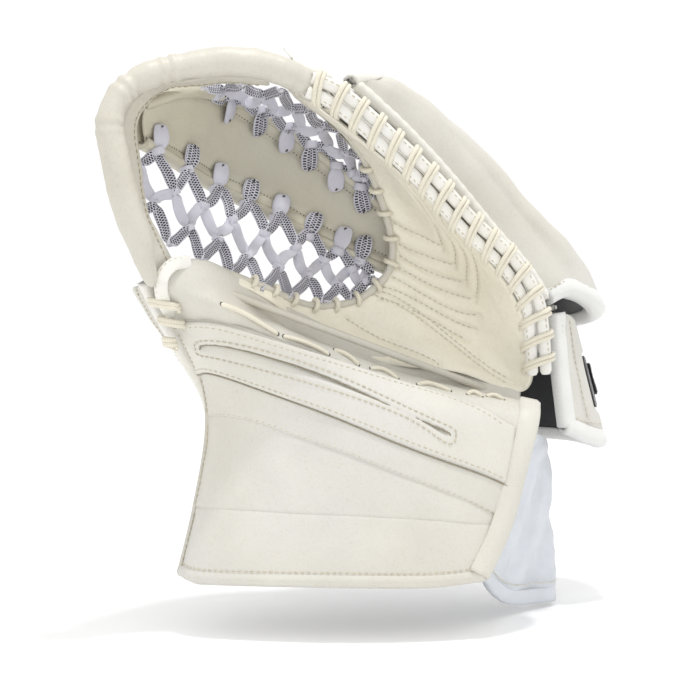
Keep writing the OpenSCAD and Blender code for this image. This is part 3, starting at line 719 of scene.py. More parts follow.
def leather(name, colour, roughness, grain=1.3, relief=0.10, shade=0.05, sheen=0.0):
    """Grained leather: pebbles of about grain millimetres, fine pores, soft hollows and a little
    handling wear."""
    m = Material(name, colour, roughness, Coat_Weight=0.04, Coat_Roughness=0.35, Sheen_Weight=sheen)
    cloud = m.noise(26.0, 4.0)
    streak = m.noise(9.0, 2.0, 0.4)
    darker, lighter = shades(colour, 1 - shade, 1 + shade * 0.5)
    base = m.ramp(cloud, (0.3, darker), (0.72, lighter))
    worn = m.ramp(streak, (0.35, linear(255, 255, 255)), (0.8, linear(252, 248, 238)))
    base = m.mix(0.7, base, worn, "MULTIPLY")
    cells = m.cells(1000 / grain, "SMOOTH_F1")
    creases = m.ramp(cells, (0.45, (1, 1, 1, 1)), (0.95, linear(243, 238, 226)))
    m.colour(m.mix(0.6, base, creases, "MULTIPLY"))
    m.roughness(m.noise(140.0, 2.0), roughness - 0.06, roughness + 0.08)
    m.bump(m.math("SUBTRACT", 1.0, cells), relief)
    m.bump(m.noise(160.0, 3.0), 0.22)
    m.bump(m.noise(38.0, 2.0), 0.9, 0.5)
    return m.material


def webbing(name, colour, roughness, per_cm=11.0, relief=0.16, shade=0.12, sheen=0.15):
    """Woven tape: fine ribs crossed by a finer weft, slightly uneven in colour."""
    m = Material(name, colour, roughness, Sheen_Weight=sheen, Sheen_Roughness=0.5)
    ribs = m.wave(per_cm, "X")
    weft = m.wave(per_cm * 1.2, "Y")
    weave = m.math("MULTIPLY", ribs, weft)
    darker, lighter = shades(colour, 1 - shade, 1 + shade * 0.3)
    base = m.ramp(weave, (0.0, darker), (0.6, lighter))
    fade = m.ramp(m.noise(40.0, 3.0), (0.3, (0.93, 0.93, 0.93, 1)), (0.7, (1, 1, 1, 1)))
    m.colour(m.mix(0.8, base, fade, "MULTIPLY"))
    m.roughness(weave, roughness + 0.06, roughness - 0.05)
    m.bump(weave, relief)
    m.bump(m.noise(300.0, 2.0), 0.12)
    return m.material


def flat_lace(name, colour):
    """Flat woven lace: one face plain, the other with small dark squares in slanting rows."""
    m = Material(name, colour, 0.6, Sheen_Weight=0.2, Sheen_Roughness=0.4)
    parts = m.add("ShaderNodeSeparateXYZ", {0: m.flat})
    angle = m.math("MULTIPLY", parts.outputs["Y"], 2 * math.pi)
    turned = m.math("COSINE", angle, 0.0)
    flat = m.math("POWER", m.math("ABSOLUTE", turned, 0.0), 0.6)
    side = m.math("MULTIPLY", m.math("MULTIPLY", flat, m.math("SIGN", turned, 0.0)), 2.3)
    length = m.math("MULTIPLY", parts.outputs["X"], 5.6)
    column = m.math("FLOOR", m.math("ADD", side, 8.0), 0.0)
    slid = m.math("ADD", length, m.math("MULTIPLY", column, 0.5))
    dark = m.math("MULTIPLY", m.math("LESS_THAN", m.math("FRACT", slid, 0.0), 0.6),
                  m.math("LESS_THAN", m.math("FRACT", m.math("ADD", side, 8.0), 0.0), 0.76))
    inner = m.math("LESS_THAN", m.math("ABSOLUTE", side, 0.0), 2.1)
    back = m.math("GREATER_THAN", parts.outputs["Y"], 0.5)
    mark = m.math("MULTIPLY", m.math("MULTIPLY", dark, inner), back)
    thread = m.wave(14.0, "X", 0.5)
    soft = m.ramp(thread, (0.0, shade_of(colour, 0.9)), (0.8, shade_of(colour, 1.04)))
    m.colour(m.mix(mark, soft, linear(18, 18, 22)))
    m.roughness(m.noise(500.0, 2.0), 0.52, 0.68)
    m.bump(thread, 0.14)
    m.bump(m.noise(600.0, 2.0), 0.08)
    return m.material


def braid(name, colour):
    """Round cord of plaited yarns: two sets of slanting ridges that cross."""
    m = Material(name, colour, 0.7, Sheen_Weight=0.2, Sheen_Roughness=0.5)
    parts = m.add("ShaderNodeSeparateXYZ", {0: m.flat})
    around = m.math("MULTIPLY", parts.outputs["Y"], 5.0)
    length = m.math("MULTIPLY", parts.outputs["X"], 6.0)
    turn = 2 * math.pi
    one = m.math("SINE", m.math("MULTIPLY", m.math("ADD", length, around), turn), 0.0)
    two = m.math("SINE", m.math("MULTIPLY", m.math("SUBTRACT", length, around), turn), 0.0)
    yarns = m.math("MULTIPLY", m.math("ADD", m.math("MULTIPLY", one, two), 1.0), 0.5)
    base = m.ramp(yarns, (0.05, shade_of(colour, 0.8)), (0.55, shade_of(colour, 1.0)),
                  (0.9, shade_of(colour, 1.1)))
    m.colour(base)
    m.roughness(m.noise(400.0, 2.0), 0.62, 0.78)
    m.bump(yarns, 0.25)
    m.bump(m.noise(900.0, 2.0), 0.1)
    return m.material


def satin(name, colour):
    m = Material(name, colour, 0.42, Sheen_Weight=0.35, Sheen_Roughness=0.35, Anisotropic=0.4)
    weave = m.math("MULTIPLY", m.wave(16.0, "X"), m.wave(22.0, "Y"))
    base = m.ramp(m.noise(34.0, 4.0), (0.3, shade_of(colour, 0.9)), (0.7, shade_of(colour, 1.08)))
    m.colour(m.mix(0.35, base, m.ramp(weave, (0.0, shade_of(colour, 0.8)), (0.7, shade_of(colour, 1.1)))))
    m.roughness(m.noise(90.0, 2.0), 0.34, 0.5)
    m.bump(weave, 0.06)
    m.bump(m.noise(120.0, 3.0), 0.35)
    return m.material


def fuzzy(name, colour, scale, relief, roughness=0.9, sheen=0.4, shade=0.35):
    """Felt, knitted lining, hook or loop cloth: a fine uneven nap."""
    m = Material(name, colour, roughness, Sheen_Weight=sheen, Sheen_Roughness=0.6)
    nap = m.noise(scale, 5.0, 0.7)
    cells = m.cells(scale * 1.6)
    m.colour(m.ramp(nap, (0.25, shade_of(colour, 1 - shade)), (0.75, shade_of(colour, 1 + shade * 0.6))))
    m.roughness(nap, roughness - 0.08, roughness + 0.05)
    m.bump(nap, relief)
    m.bump(cells, relief * 0.7)
    return m.material


def foam_cells(name, colour):
    m = Material(name, colour, 0.85)
    cells = m.cells(900.0)
    m.colour(m.ramp(cells, (0.1, shade_of(colour, 0.72)), (0.5, shade_of(colour, 1.0))))
    m.roughness(m.noise(200.0), 0.78, 0.92)
    m.bump(cells, 0.3)
    m.bump(m.noise(70.0, 2.0), 0.5)
    return m.material


def moulded(name, colour):
    m = Material(name, colour, 0.5)
    m.colour(m.ramp(m.noise(60.0, 4.0), (0.3, shade_of(colour, 0.85)), (0.7, shade_of(colour, 1.1))))
    m.roughness(m.noise(300.0, 2.0), 0.42, 0.58)
    m.bump(m.cells(1500.0), 0.08)
    return m.material


def twisted_thread(name, colour):
    m = Material(name, colour, 0.55, Sheen_Weight=0.2)
    m.colour(m.ramp(m.noise(900.0, 2.0), (0.3, shade_of(colour, 0.75)), (0.7, shade_of(colour, 1.1))))
    m.roughness(m.noise(700.0, 2.0), 0.48, 0.64)
    m.bump(m.noise(1500.0, 2.0), 0.12)
    return m.material


WHITE = leather("leather_white", linear(207, 205, 198), 0.50)
RAISED = leather("leather_raised", linear(211, 209, 202), 0.48, grain=1.1)
ROLLED = leather("leather_rolled", linear(203, 200, 190), 0.46, grain=1.5, relief=0.13)
# Painted light: the palm leather is lighter than the cuff's to offset the shade that falls on the pocket's
# faces
LIT_PALM_LEATHER = leather("leather_palm", linear(236, 232, 218), 0.52, grain=1.6, relief=0.14, shade=0.06)
# Painted shade: a darker copy of the white leather for the stem, which lies deep in the pocket's shade
SHADED_STEM_LEATHER = leather("leather_stem_painted_shade", linear(194, 190, 175), 0.5, grain=1.4)
BINDING = webbing("binding_white", linear(238, 238, 235), 0.55)
SOFT_BINDING = leather("binding_soft", linear(230, 229, 224), 0.45, grain=0.9, relief=0.06)
CORD = braid("cord_cream", linear(230, 224, 206))
LACE = flat_lace("pocket_lace", linear(203, 202, 212))
SATIN = satin("nylon_grey", linear(211, 215, 221))
LINING = fuzzy("lining_black", linear(38, 38, 42), 700.0, 0.18)
HOOKS = fuzzy("hook_and_loop", linear(30, 30, 33), 420.0, 0.5, 0.95, 0.6)
FELT = fuzzy("felt_grey", linear(190, 190, 184), 260.0, 0.4)
FOAM = foam_cells("foam_grey", linear(206, 206, 200))
BOARD = moulded("board_plastic", linear(82, 86, 90))
STRAP = webbing("strap_black", linear(42, 42, 46), 0.6, per_cm=7.0, relief=0.3, shade=0.4)
THREAD = twisted_thread("thread_tan", linear(200, 192, 170))
# Painted shade: dark dots for the shaded stitch holes along the stem's edges
STITCH_HOLE_SHADE = twisted_thread("stitch_hole_painted_shade", linear(92, 86, 72))
PALE_THREAD = twisted_thread("thread_pale", linear(214, 208, 192))
# Painted shadow: a dark line laid where the raised panel's step and the slot's upper wall cast shade
PAINTED_SHADOW_LINE = twisted_thread("painted_shadow_line", linear(148, 140, 120))
# Painted shade: dark plugs for the shaded inside of the lace holes
HOLE_SHADE = twisted_thread("lace_hole_painted_shade", linear(58, 54, 47))

# Pieces that cross the line where the palm breaks: place only bakes their transform
FOLD = "fold"
# The closing strap where it peels off: place only bakes its transform
PEEL = "peel"


def place(obj, body, *nodes):
    """Puts a finished piece on its body, or only bakes its transform for the fold and the peel, and hides its
    CAD nodes.
    """
    if body == FOLD:
        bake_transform(obj)
    elif body == PEEL:
        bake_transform(obj)
    else:
        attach(obj, body)
    if nodes:
        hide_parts(*nodes)
    return obj


def layer(name, material, body, node, surface, area, top, bottom, step, **shape):
    """A plain sheet or block over an area of a surface, put on its body in place of one CAD node. It lies
    between the heights top and bottom, on a grid of step millimetres."""
    return place(Skin(surface, area, top, bottom, step, **shape).make(name, material), body, node)


def sew(name, material, body, rows, **stitch):
    """Rows of stitches, each given by its points and directions, as one piece on a body."""
    thread = Thread()
    for points, normals in rows:
        thread.row(points, normals, **stitch)
    return place(thread.make(name, material), body)


def beside(skin, path, mm):
    """A row for stitches on a sheet's top, mm to one side of a path."""
    return skin.on_top(shifted(skin.s, path, mm)[::6], 0.2)


def mix(a, b, t):
    return a + (b - a) * t


# ---- surfaces ------------------------------------------------------------------------------------

cuff = Surface(CUFF_NET, -1)
# The heel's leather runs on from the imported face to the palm's edge, under which it is tucked
CREASE_EDGE = [[-130, -80, 235], [-101, -63, 242], [-42, -20, 206], [24, 4, 176], [105, 14, 155]]
heel = Surface(HEEL_NET, -1)
heel_leather = Surface(HEEL_NET + [CREASE_EDGE], -1)
palm = Surface(PALM_NET, -1)
# The band inside the rim runs on down to the thumb
band_side = Surface([[[-131, -80, 227], [-119, -70, 236]]] + BAND_NET, -1)
stem = Surface(STEM_NET, -1)
shell = Surface(SHELL_NET, 1)
pad = Surface(PAD_NET, 1)
flap = Surface(FLAP_NET, 1)
skirt = Surface(SKIRT_NET, -1)
thumb = Surface(THUMB_NET, -1)
finger_wall = Surface(FINGER_GUSSET_NET, 1)
thumb_wall = Surface(THUMB_GUSSET_NET, -1)

# ---- cuff ----------------------------------------------------------------------------------------

BOTTOM_SEAM = [(0.244, 0.0), (0.25, 0.54), (0.252, 1.0)]
MIDDLE_SEAM = [(0.545, 0.0), (0.531, 0.288), (0.494, 0.406), (0.456, 0.525), (0.406, 0.65), (0.35, 0.788),
               (0.268, 1.0)]
STEP = [(0.75, 0.0), (0.731, 0.231), (0.656, 0.425), (0.544, 0.65), (0.413, 0.938), (0.385, 1.0)]
STEP_STITCH = [(0.775, 0.01), (0.752, 0.231), (0.681, 0.425), (0.575, 0.65), (0.428, 0.94)]
TOP_LINE = [(0.99, 0.0), (0.992, 0.3), (0.99, 0.6), (0.972, 0.75), (0.862, 0.85), (0.72, 0.93), (0.66, 1.0)]
SLOT_TOP = [(0.865, 0.135), (0.886, 0.165), (0.893, 0.331), (0.865, 0.47), (0.768, 0.625), (0.656, 0.769),
            (0.625, 0.785)]
SLOT_BOTTOM = [(0.865, 0.135), (0.845, 0.165), (0.812, 0.438), (0.731, 0.669), (0.606, 0.769), (0.625, 0.785)]


def run_u(v, low=0.0, high=1.0):
    """Path straight across a surface's rows, at one v."""
    return [(low, v), (0.5, v), (high, v)]


def run_v(u, low=0.0, high=1.0):
    """Path straight along a surface's rows, at one u."""
    return [(u, low), (u, 0.5), (u, high)]


def moved(path, du):
    return [(u + du, v) for u, v in path]


def slot_hollow(p, u, v, edge):
    """The long hollow in the raised panel: deep along its upper line, rising to nothing at its lower
    line."""
    top, bottom = across(SLOT_TOP, v), across(SLOT_BOTTOM, v)
    width = np.maximum(top - bottom, 1e-6)
    t = np.clip((top - u) / width, 0, 1)
    inside = smooth(v, 0.135, 0.15) * (1 - smooth(v, 0.77, 0.786))
    wall = smooth((top - u), 0.0, 0.008)
    lips = 0.35 * np.exp(-(((u - top) / 0.02) ** 2)) * (u > top) * inside
    return -3.0 * inside * wall * (1 - t) ** 1.1 * (u < top) + lips


def drape(amount, size, seed):
    """Soft hollows and swells of leather over foam."""
    return lambda p, u, v, edge: amount * waves(p, seed, size)


bottom_panel = Skin(cuff, WHOLE, 0.3, LEATHER, 1.8, crown=1.6, crown_width=9, rounding=2.4,
                    sides=(run_v(0.0), moved(BOTTOM_SEAM, 0.012)), extra=drape(0.25, 40, 1))
place(bottom_panel.make("cuff_bottom_leather", WHITE), "cuff", "cuff_bottom_panel")
middle_panel = Skin(cuff, WHOLE, 0.8, LEATHER, 1.8, crown=1.2, crown_width=14, rounding=2.2,
                    sides=(moved(BOTTOM_SEAM, 0.0), moved(MIDDLE_SEAM, 0.016)), extra=drape(0.4, 34, 2))
place(middle_panel.make("cuff_middle_leather", WHITE), "cuff", "cuff_middle_panel")
upper_panel = Skin(cuff, WHOLE, 1.5, LEATHER, 1.8, crown=1.1, crown_width=8, rounding=1.8,
                   sides=(MIDDLE_SEAM, run_v(1.0)), extra=drape(0.3, 30, 3))
place(upper_panel.make("cuff_upper_leather", WHITE), "cuff", "cuff_upper_panel")
raised_panel = Skin(cuff, (0, 1, 0.004, 0.95), 4.2, 1.0, 1.1, crown=0.8, crown_width=9, rounding=1.5,
                    sides=(STEP, TOP_LINE), extra=slot_hollow)
place(raised_panel.make("cuff_raised_leather", RAISED), "cuff", "cuff_raised_panel")

layer("cuff_foam_block", FOAM, "cuff", "cuff_foam", cuff, WHOLE, -2.4, -11.4, 5.0, rounding=1.5)
layer("cuff_stiff_board", BOARD, "cuff", "cuff_board", cuff, (0.12, 0.88, 0.1, 0.9), -11.7, -13.7, 5.0,
      rounding=1.0)
layer("cuff_inner_lining", LINING, "cuff", "cuff_lining", cuff, WHOLE, -14.0, -15.2, 4.0, rounding=0.8,
      extra=drape(0.12, 22, 4))


def edge_band(name, surface, path, profile, material, step=2.5):
    """An edge of a surface with a closed profile swept along it."""
    return wrap(name, edge_frames(surface, path, step), profile, material)


def bound(name, material, body, surface, path, profile, *nodes):
    """A bound edge, put on its body in place of its CAD node, if it has one."""
    return place(edge_band(name, surface, path, profile, material), body, *nodes)


RIGHT_STRIP = 12.5
bound("cuff_bottom_binding", WHITE, "cuff", cuff, run_v(0.0),
      band(5.5, 9, 1.3, 0.6, -15.4, 3.2), "cuff_binding")
bound("cuff_left_binding", WHITE, "cuff", cuff, run_u(0.0), band(2.2, 9, 1.0, 0.9, -15.4, 3.0))
bound("cuff_right_binding", RAISED, "cuff", cuff, run_u(1.0),
      band(RIGHT_STRIP, 12, 1.5, 1.9, -15.4, 3.4))

cuff_seams = Thread()
raised_seams = Thread()
cuff_seams.row(*bottom_panel.on_top(shifted(cuff, run_v(0.0, 0.01, 0.99), 6.6), 0.1))
cuff_seams.row(*middle_panel.on_top(shifted(cuff, [(0.244, 0.012), (0.25, 0.54), (0.252, 0.95)], 1.6), -0.9))
cuff_seams.row(*upper_panel.on_top(shifted(cuff, moved(MIDDLE_SEAM, 0.004)[:6] + [(0.29, 0.945)], 1.7), -0.7))
cuff_seams.row(*bottom_panel.on_top([(0.02, 0.017), (0.12, 0.017), (0.235, 0.017)], 0.0))
cuff_seams.row(*middle_panel.on_top([(0.255, 0.017), (0.4, 0.017), (0.53, 0.017)], 0.0))
cuff_seams.row(*upper_panel.on_top([(0.56, 0.017), (0.66, 0.017), (0.74, 0.017)], 0.0))
for low, high, panel in ((0.03, 0.24, bottom_panel), (0.26, 0.36, middle_panel)):
    cuff_seams.row(*panel.on_top([(low, 0.943), (mix(low, high, 0.5), 0.943), (high, 0.943)], 0.1))
raised_seams.row(*raised_panel.on_top(STEP_STITCH, -0.2))
raised_seams.row(*raised_panel.on_top(shifted(cuff, TOP_LINE[:6], -3.2), -0.3))
raised_seams.row(*raised_panel.on_top([(0.78, 0.017), (0.88, 0.017), (0.97, 0.017)], -0.2))
place(cuff_seams.make("cuff_stitching", THREAD), "cuff")


def flat_row(thread, surface, path, mm, height):
    """Stitches beside a path, at one height over the surface."""
    q = shifted(surface, path, mm)
    u, v = q[:, 0], q[:, 1]
    n = surface.normal(u, v)
    thread.row(surface.at(u, v) + height * n, n)


flat_row(raised_seams, cuff, SLOT_TOP, 3.0, 5.2)
flat_row(raised_seams, cuff, SLOT_BOTTOM, -2.6, 5.2)
place(raised_seams.make("raised_panel_stitching", THREAD), "cuff")
# Thin dark cords of painted shadow under the slot's upper wall and along the raised panel's step
shadow_lines = []
for path, mm, height in ((SLOT_TOP, -0.8, 4.2), (STEP, -0.5, 3.0)):
    q = shifted(cuff, path, mm)
    n = cuff.normal(q[:, 0], q[:, 1])
    shadow_lines.append(tube(cuff.at(q[:, 0], q[:, 1]) + height * n, (0, 1, 0), tapered(0.55, len(q))))
place(sweep("raised_panel_shadow_lines", shadow_lines, PAINTED_SHADOW_LINE, 8), "cuff")

# ---- heel ----------------------------------------------------------------------------------------

heel_skin = Skin(heel_leather, (0.02, 1, 0, 1), 0.2, LEATHER, 1.8, crown=1.2, crown_width=6, rounding=2.0,
                 extra=drape(0.6, 24, 6))
place(heel_skin.make("heel_leather", WHITE), "cuff", "heel_face")
layer("heel_padding", FOAM, "cuff", "heel_foam", heel, (0.43, 0.81, 0.1, 0.9), -1.9, -4.9, 4.0, rounding=1.2)


def line_tube(name, ends, radius, short, material, ripple=0.05):
    """Sewn-in round cord on a straight line, puckered a little by its stitches."""
    a, b = np.array(ends[0], float), np.array(ends[1], float)
    t = np.linspace(short, 1 - short, 90)
    points = a + t[:, None] * (b - a)
    size = tapered(radius, 90) * (1 + ripple * np.sin(t * np.linalg.norm(b - a) * 1.1))
    return sweep(name, [tube(points, (0, 1, 0), size)], material, 14)


place(line_tube("break_cord", BREAK_LINE, 2.5, 0.06, ROLLED), "cuff", "break_piping")

HEEL_RUNS = [[(0.38, 0.27), (0.32, 0.34), (0.20, 0.41)], [(0.20, 0.425), (0.20, 0.48), (0.16, 0.53)],
             [(0.30, 0.555), (0.25, 0.58), (0.17, 0.60)], [(0.19, 0.63), (0.23, 0.66), (0.18, 0.69)],
             [(0.18, 0.735), (0.23, 0.77), (0.19, 0.81)], [(0.20, 0.85), (0.24, 0.865), (0.18, 0.88)],
             [(0.22, 0.895), (0.25, 0.91), (0.20, 0.93)]]
runs = []
heel_hole_shades = []
for path in HEEL_RUNS:
    points, normals = heel_skin.on_top(path, 0.4, 0.8)
    dip = np.sin(np.linspace(0, math.pi, len(points))) ** 0.35
    runs.append(tube(points + ((dip - 1) * 3.0 + 0.8)[:, None] * normals, (0, 1, 0), 1.8, 1.6))
    # A dark plug at each end of a run: painted shade for the inside of its lace hole
    for k in (0, -1):
        heel_hole_shades.append(tube([points[k] - 1.4 * normals[k], points[k]], (1, 0, 0), 1.3))
place(sweep("heel_lace", runs, CORD, 14), "cuff", "heel_lacing")
place(sweep("heel_lace_hole_shades", heel_hole_shades, HOLE_SHADE, 14), "cuff")

# ---- thumb ---------------------------------------------------------------------------------------

thumb_skin = Skin(thumb, WHOLE, 0.3, LEATHER, 2.0, crown=2.2, crown_width=14, rounding=2.2,
                  seams=[([(0.02, 0.42), (0.5, 0.45), (0.98, 0.47)], 1.6, 2.4),
                         ([(0.5, 0.02), (0.47, 0.5), (0.5, 0.98)], 1.2, 2.2)], extra=drape(0.5, 30, 8))
place(thumb_skin.make("thumb_leather", WHITE), "cuff", "thumb_shell")
layer("thumb_padding", FOAM, "cuff", "thumb_foam", thumb, (0.125, 1, 0, 1), -1.9, -5.9, 4.0, rounding=1.2)
layer("thumb_stiff_board", BOARD, "cuff", "thumb_board", thumb, (0.125, 0.875, 0.125, 0.875), -6.2, -7.7,
      4.0, rounding=0.7)
layer("thumb_inner_lining", LINING, "cuff", "thumb_lining", thumb, (0.125, 1, 0, 1), -8.0, -9.2, 4.0,
      rounding=0.6)
layer("thumb_gusset_leather", LIT_PALM_LEATHER, "cuff", "thumb_gusset", thumb_wall, WHOLE, 0.0, LEATHER, 1.8, crown=0.6,
      rounding=1.2, extra=drape(0.3, 18, 9))
bound("thumb_edge_binding", SOFT_BINDING, "cuff", thumb, run_u(0.0),
      band(6, 6, 1.0, 0.9, -8.6, 3.2), "thumb_binding")
thumb_seams = Thread()
for path, mm in (([(0.02, 0.42), (0.5, 0.45), (0.98, 0.47)], 2.4),
                 ([(0.02, 0.42), (0.5, 0.45), (0.98, 0.47)], -2.4),
                 ([(0.5, 0.03), (0.47, 0.5), (0.5, 0.97)], 2.4), (run_u(0.0, 0.02, 0.98), 7.6),
                 (run_u(0.0, 0.02, 0.98), -7.6)):
    q = shifted(thumb, path, mm)
    if q[:, 1].max() > 0.005:
        thumb_seams.row(*thumb_skin.on_top(q[::6], 0.2))
place(thumb_seams.make("thumb_stitching", THREAD), "cuff")


def wrinkled_roll(name, path, radius, material, corners, seed, foot=1.0):
    """Padded roll whose leather gathers into wrinkles at its bends."""
    p = even(path, 1.4)
    t = np.linspace(0, 1, len(p))
    size = np.full(len(p), float(radius))
    for at, width, depth in corners:
        gathers = 0.5 + 0.5 * np.sin(len(p) * 1.4 * t * 0.55 + 2.2 * np.sin(t * 60 + seed))
        size -= depth * np.exp(-(((t - at) / width) ** 2)) * gathers
    size *= mix(foot, 1, smooth(t, 0, 0.14)) * mix(0.45, 1, smooth(1 - t, 0, 0.09))
    ends = np.clip(np.minimum(t, 1 - t) * len(p) * 1.4 / radius, 0.02, 1)
    size *= np.sqrt(1 - (1 - ends) ** 2)
    obj = sweep(name, [tube(p, (0, 1, 0), size)], material, 30)
    co = np.array([v.co for v in obj.data.vertices]) / MM
    centre = np.concatenate([np.repeat(p, 30, 0), p[[0, -1]]])
    out = co - centre
    swell = 1 + 0.035 * waves(co, seed, 26) + 0.02 * waves(co, seed + 1, 9)
    obj.data.vertices.foreach_set("co", ((centre + out * swell[:, None]) * MM).ravel())
    obj.data.update()
    return obj


TIP_STRIP = [
    [-112, -71, 241.5], [-121, -79, 240], [-127, -84, 234],
    [-129, -84, 226], [-128, -75, 216], [-125, -61, 207]
]
tip = even(TIP_STRIP, 1.0)
tip_side = unit(np.cross(tangents(tip), (0.0, 1.0, 0.0)))
tip_tube = tube(tip, tip_side, 4.3 * tapered(1.0, len(tip)), 1.7, power=0.7)
place(sweep("thumb_tip_strip", [tip_tube], SOFT_BINDING, 20), "cuff", "thumb_tip_roll")
tip_thread = Thread()
tip_thread.row(tip - 3.0 * tip_side - np.array([0, 1.6, 0]), np.broadcast_to((0.0, -1.0, 0.0), tip.shape))
place(tip_thread.make("thumb_tip_stitching", PALE_THREAD), "cuff")


def ring(centre, half_width, half_depth, lift, radius, turns=2, pitch=2.2):
    """Cord wound round the joined edges of the heel and the thumb."""
    a = np.linspace(0, turns * 2 * math.pi, 40 * turns)
    x = np.array([0.97, 0.0, -0.24])
    points = (np.array(centre, float) + half_width * np.cos(a)[:, None] * x
              - half_depth * np.sin(a)[:, None] * np.array([0, 1, 0])
              + (a / 2 / math.pi - turns / 2)[:, None] * np.array([lift, 0, -pitch]))
    return tube(points, (0, 0, 1), tapered(radius, len(points)))


thumb_loops = [ring((-128.5, -70, 214), 9.6, 9, 0.2, 1.6), ring((-124.5, -60, 202), 8.2, 9, 0.2, 1.6),
               ring((-126, -57, 189), 3.6, 3.4, 0.6, 1.9, 2, 3.0)]
place(sweep("thumb_lace", thumb_loops, CORD, 14), "cuff", "thumb_lacing")

# ---- palm ----------------------------------------------------------------------------------------

RIDGES = [
    [(0.588, 0.062), (0.619, 0.319), (0.631, 0.494)],
    [(0.631, 0.494), (0.7, 0.6), (0.756, 0.655), (0.812, 0.6), (0.831, 0.431)],
    [(0.519, 0.019), (0.572, 0.3), (0.606, 0.556)],
    [(0.606, 0.556), (0.669, 0.66), (0.763, 0.76), (0.856, 0.85), (0.93, 0.97)],
    [(0.475, 0.019), (0.535, 0.32), (0.581, 0.6)],
    [(0.581, 0.6), (0.65, 0.71), (0.74, 0.83), (0.82, 0.97)],
    [(0.425, 0.019), (0.5, 0.33), (0.556, 0.64)],
    [(0.556, 0.64), (0.631, 0.76), (0.71, 0.89), (0.76, 0.97)]
]
LINES = [
    [(0.388, 0.056), (0.46, 0.36), (0.531, 0.669)],
    [(0.344, 0.056), (0.42, 0.34), (0.488, 0.619)],
    [(0.325, 0.144), (0.385, 0.38), (0.444, 0.612)]
]
LOWER_SEAM = [(0.312, 0.01), (0.36, 0.25), (0.394, 0.488), (0.425, 0.838), (0.462, 0.97)]
DART = [(0.244, 0.306), (0.29, 0.6), (0.344, 0.875), (0.346, 0.96)]


def palm_shape(p, u, v, edge):
    """The padded palm swells between its channels, and its pocket edge turns over."""
    roll = -2.4 * np.exp(-((v * 110 / 7) ** 2)) * (u > 0.2)
    return roll + 0.5 * waves(p, 21, 26) + 0.25 * waves(p, 22, 11)


palm_skin = Skin(palm, WHOLE, 0.2, LEATHER, 1.5, crown=1.1, crown_width=6, rounding=1.8,
                 seams=[(path, 1.5, 1.9) for path in RIDGES] + [(path, 1.1, 1.7) for path in LINES]
                 + [(LOWER_SEAM, 1.3, 1.8), (DART, 1.0, 1.8)], extra=palm_shape)
place(palm_skin.make("palm_outer_leather", LIT_PALM_LEATHER), FOLD, "palm_leather")
sew("palm_stitching", PALE_THREAD, FOLD,
    [palm_skin.on_top(path, 0.5) for path in RIDGES + LINES]
    + [beside(palm_skin, LOWER_SEAM, mm) for mm in (2.0, -2.0)] + [palm_skin.on_top(DART, 0.4)])
area = (5 / 22, 17 / 22, 1 / 6, 5 / 6)
layer("palm_felt_layer", FELT, FOLD, "palm_felt", palm, area, -1.9, -5.9, 3.5, rounding=1.0)
layer("palm_inner_lining", LINING, FOLD, "palm_lining", palm, area, -6.2, -7.4, 3.5, rounding=0.6,
      extra=drape(0.1, 20, 5))


def edge_roll(name, surface, path, step_in, depth, a, b, material, ripple=0.04, sides=16):
    p, inward, n = edge_frames(surface, path, 1.2)
    centre = p + step_in * inward + depth * n
    t = np.arange(len(p))
    size = tapered(1.0, len(p)) * (1 + ripple * np.sin(t * 0.9) + ripple * waves(p, 5, 14))
    return sweep(name, [tube(centre, n, a * size, b * size)], material, sides)


place(edge_roll("pocket_edge_roll", palm, [(0.03, 0.0), (0.35, 0.0), (0.97, 0.0)], 1.0, -0.8, 2.6, 2.6,
                ROLLED), FOLD)

p, inward, n = edge_frames(palm, [(0.08, 0.0), (0.4, 0.0), (0.70, 0.0)], 1.0)
loops = []
WHIPPINGS = 12
turn = np.linspace(-2.75, 1.0, 22)
WHIPPING_RADIUS = 4.3
for k in range(WHIPPINGS):
    i = min(int(round(k * (len(p) - 1) / (WHIPPINGS - 1))), len(p) - 2)
    ahead = unit(p[min(i + 1, len(p) - 1)] - p[max(i - 1, 0)])
    centre = p[i] + inward[i] - 0.8 * n[i]
    slant = np.linspace(-1.6, 1.6, len(turn))[:, None] * ahead
    back, down = WHIPPING_RADIUS * np.cos(turn)[:, None], WHIPPING_RADIUS * np.sin(turn)[:, None]
    coil = centre - back * inward[i] - down * n[i] + slant
    loops.append(tube(coil, ahead, tapered(1.7, len(turn))))
place(sweep("pocket_edge_whipping", loops, CORD, 12), FOLD, "pocket_edge_cord")

# ---- stem and rim --------------------------------------------------------------------------------

STEM_UPPER = [(0.01, 0.07), (0.175, 0.088), (0.294, 0.1), (0.594, 0.2), (0.99, 0.2)]
STEM_LOWER = [(0.01, 0.82), (0.369, 0.84), (0.656, 0.80), (0.99, 0.78)]
stem_skin = Skin(stem, WHOLE, 0.4, LEATHER, 1.5, crown=1.8, crown_width=7, rounding=2.4,
                 seams=[(STEM_UPPER, 1.0, 1.8), (STEM_LOWER, 1.0, 1.8)], extra=drape(0.3, 24, 31))
# The stem's pieces take the darker leather of painted shade
place(stem_skin.make("stem_front_leather", SHADED_STEM_LEATHER), "catch_side", "stem_face")
layer("stem_padding", FOAM, "catch_side", "stem_core", stem, (1 / 12, 11 / 12, 1 / 6, 5 / 6), -1.9, -4.9,
      3.0, rounding=1.0)
layer("stem_back_leather", SHADED_STEM_LEATHER, "catch_side", "stem_back", stem, WHOLE, -5.2, -6.8, 2.0, rounding=1.6,
      extra=drape(0.2, 20, 32))
for name, edge in (("stem_upper_edge", 0.0), ("stem_lower_edge", 1.0)):
    bound(name, SHADED_STEM_LEATHER, "catch_side", stem, [(0.0, edge), (0.5, edge), (1.0, edge)],
          band(4.2, 4.2, 0.9, 1.3, -7.0, 2.2))
# Dark dots of painted shade for the stitch holes
sew("stem_stitching", STITCH_HOLE_SHADE, "catch_side",
    [stem_skin.on_top(path, 0.2) for path in (STEM_UPPER, STEM_LOWER)], length=0.9, gap=1.7, width=0.5)

RIM_END = [[-134, -86, 226], [-138, -91, 242]]
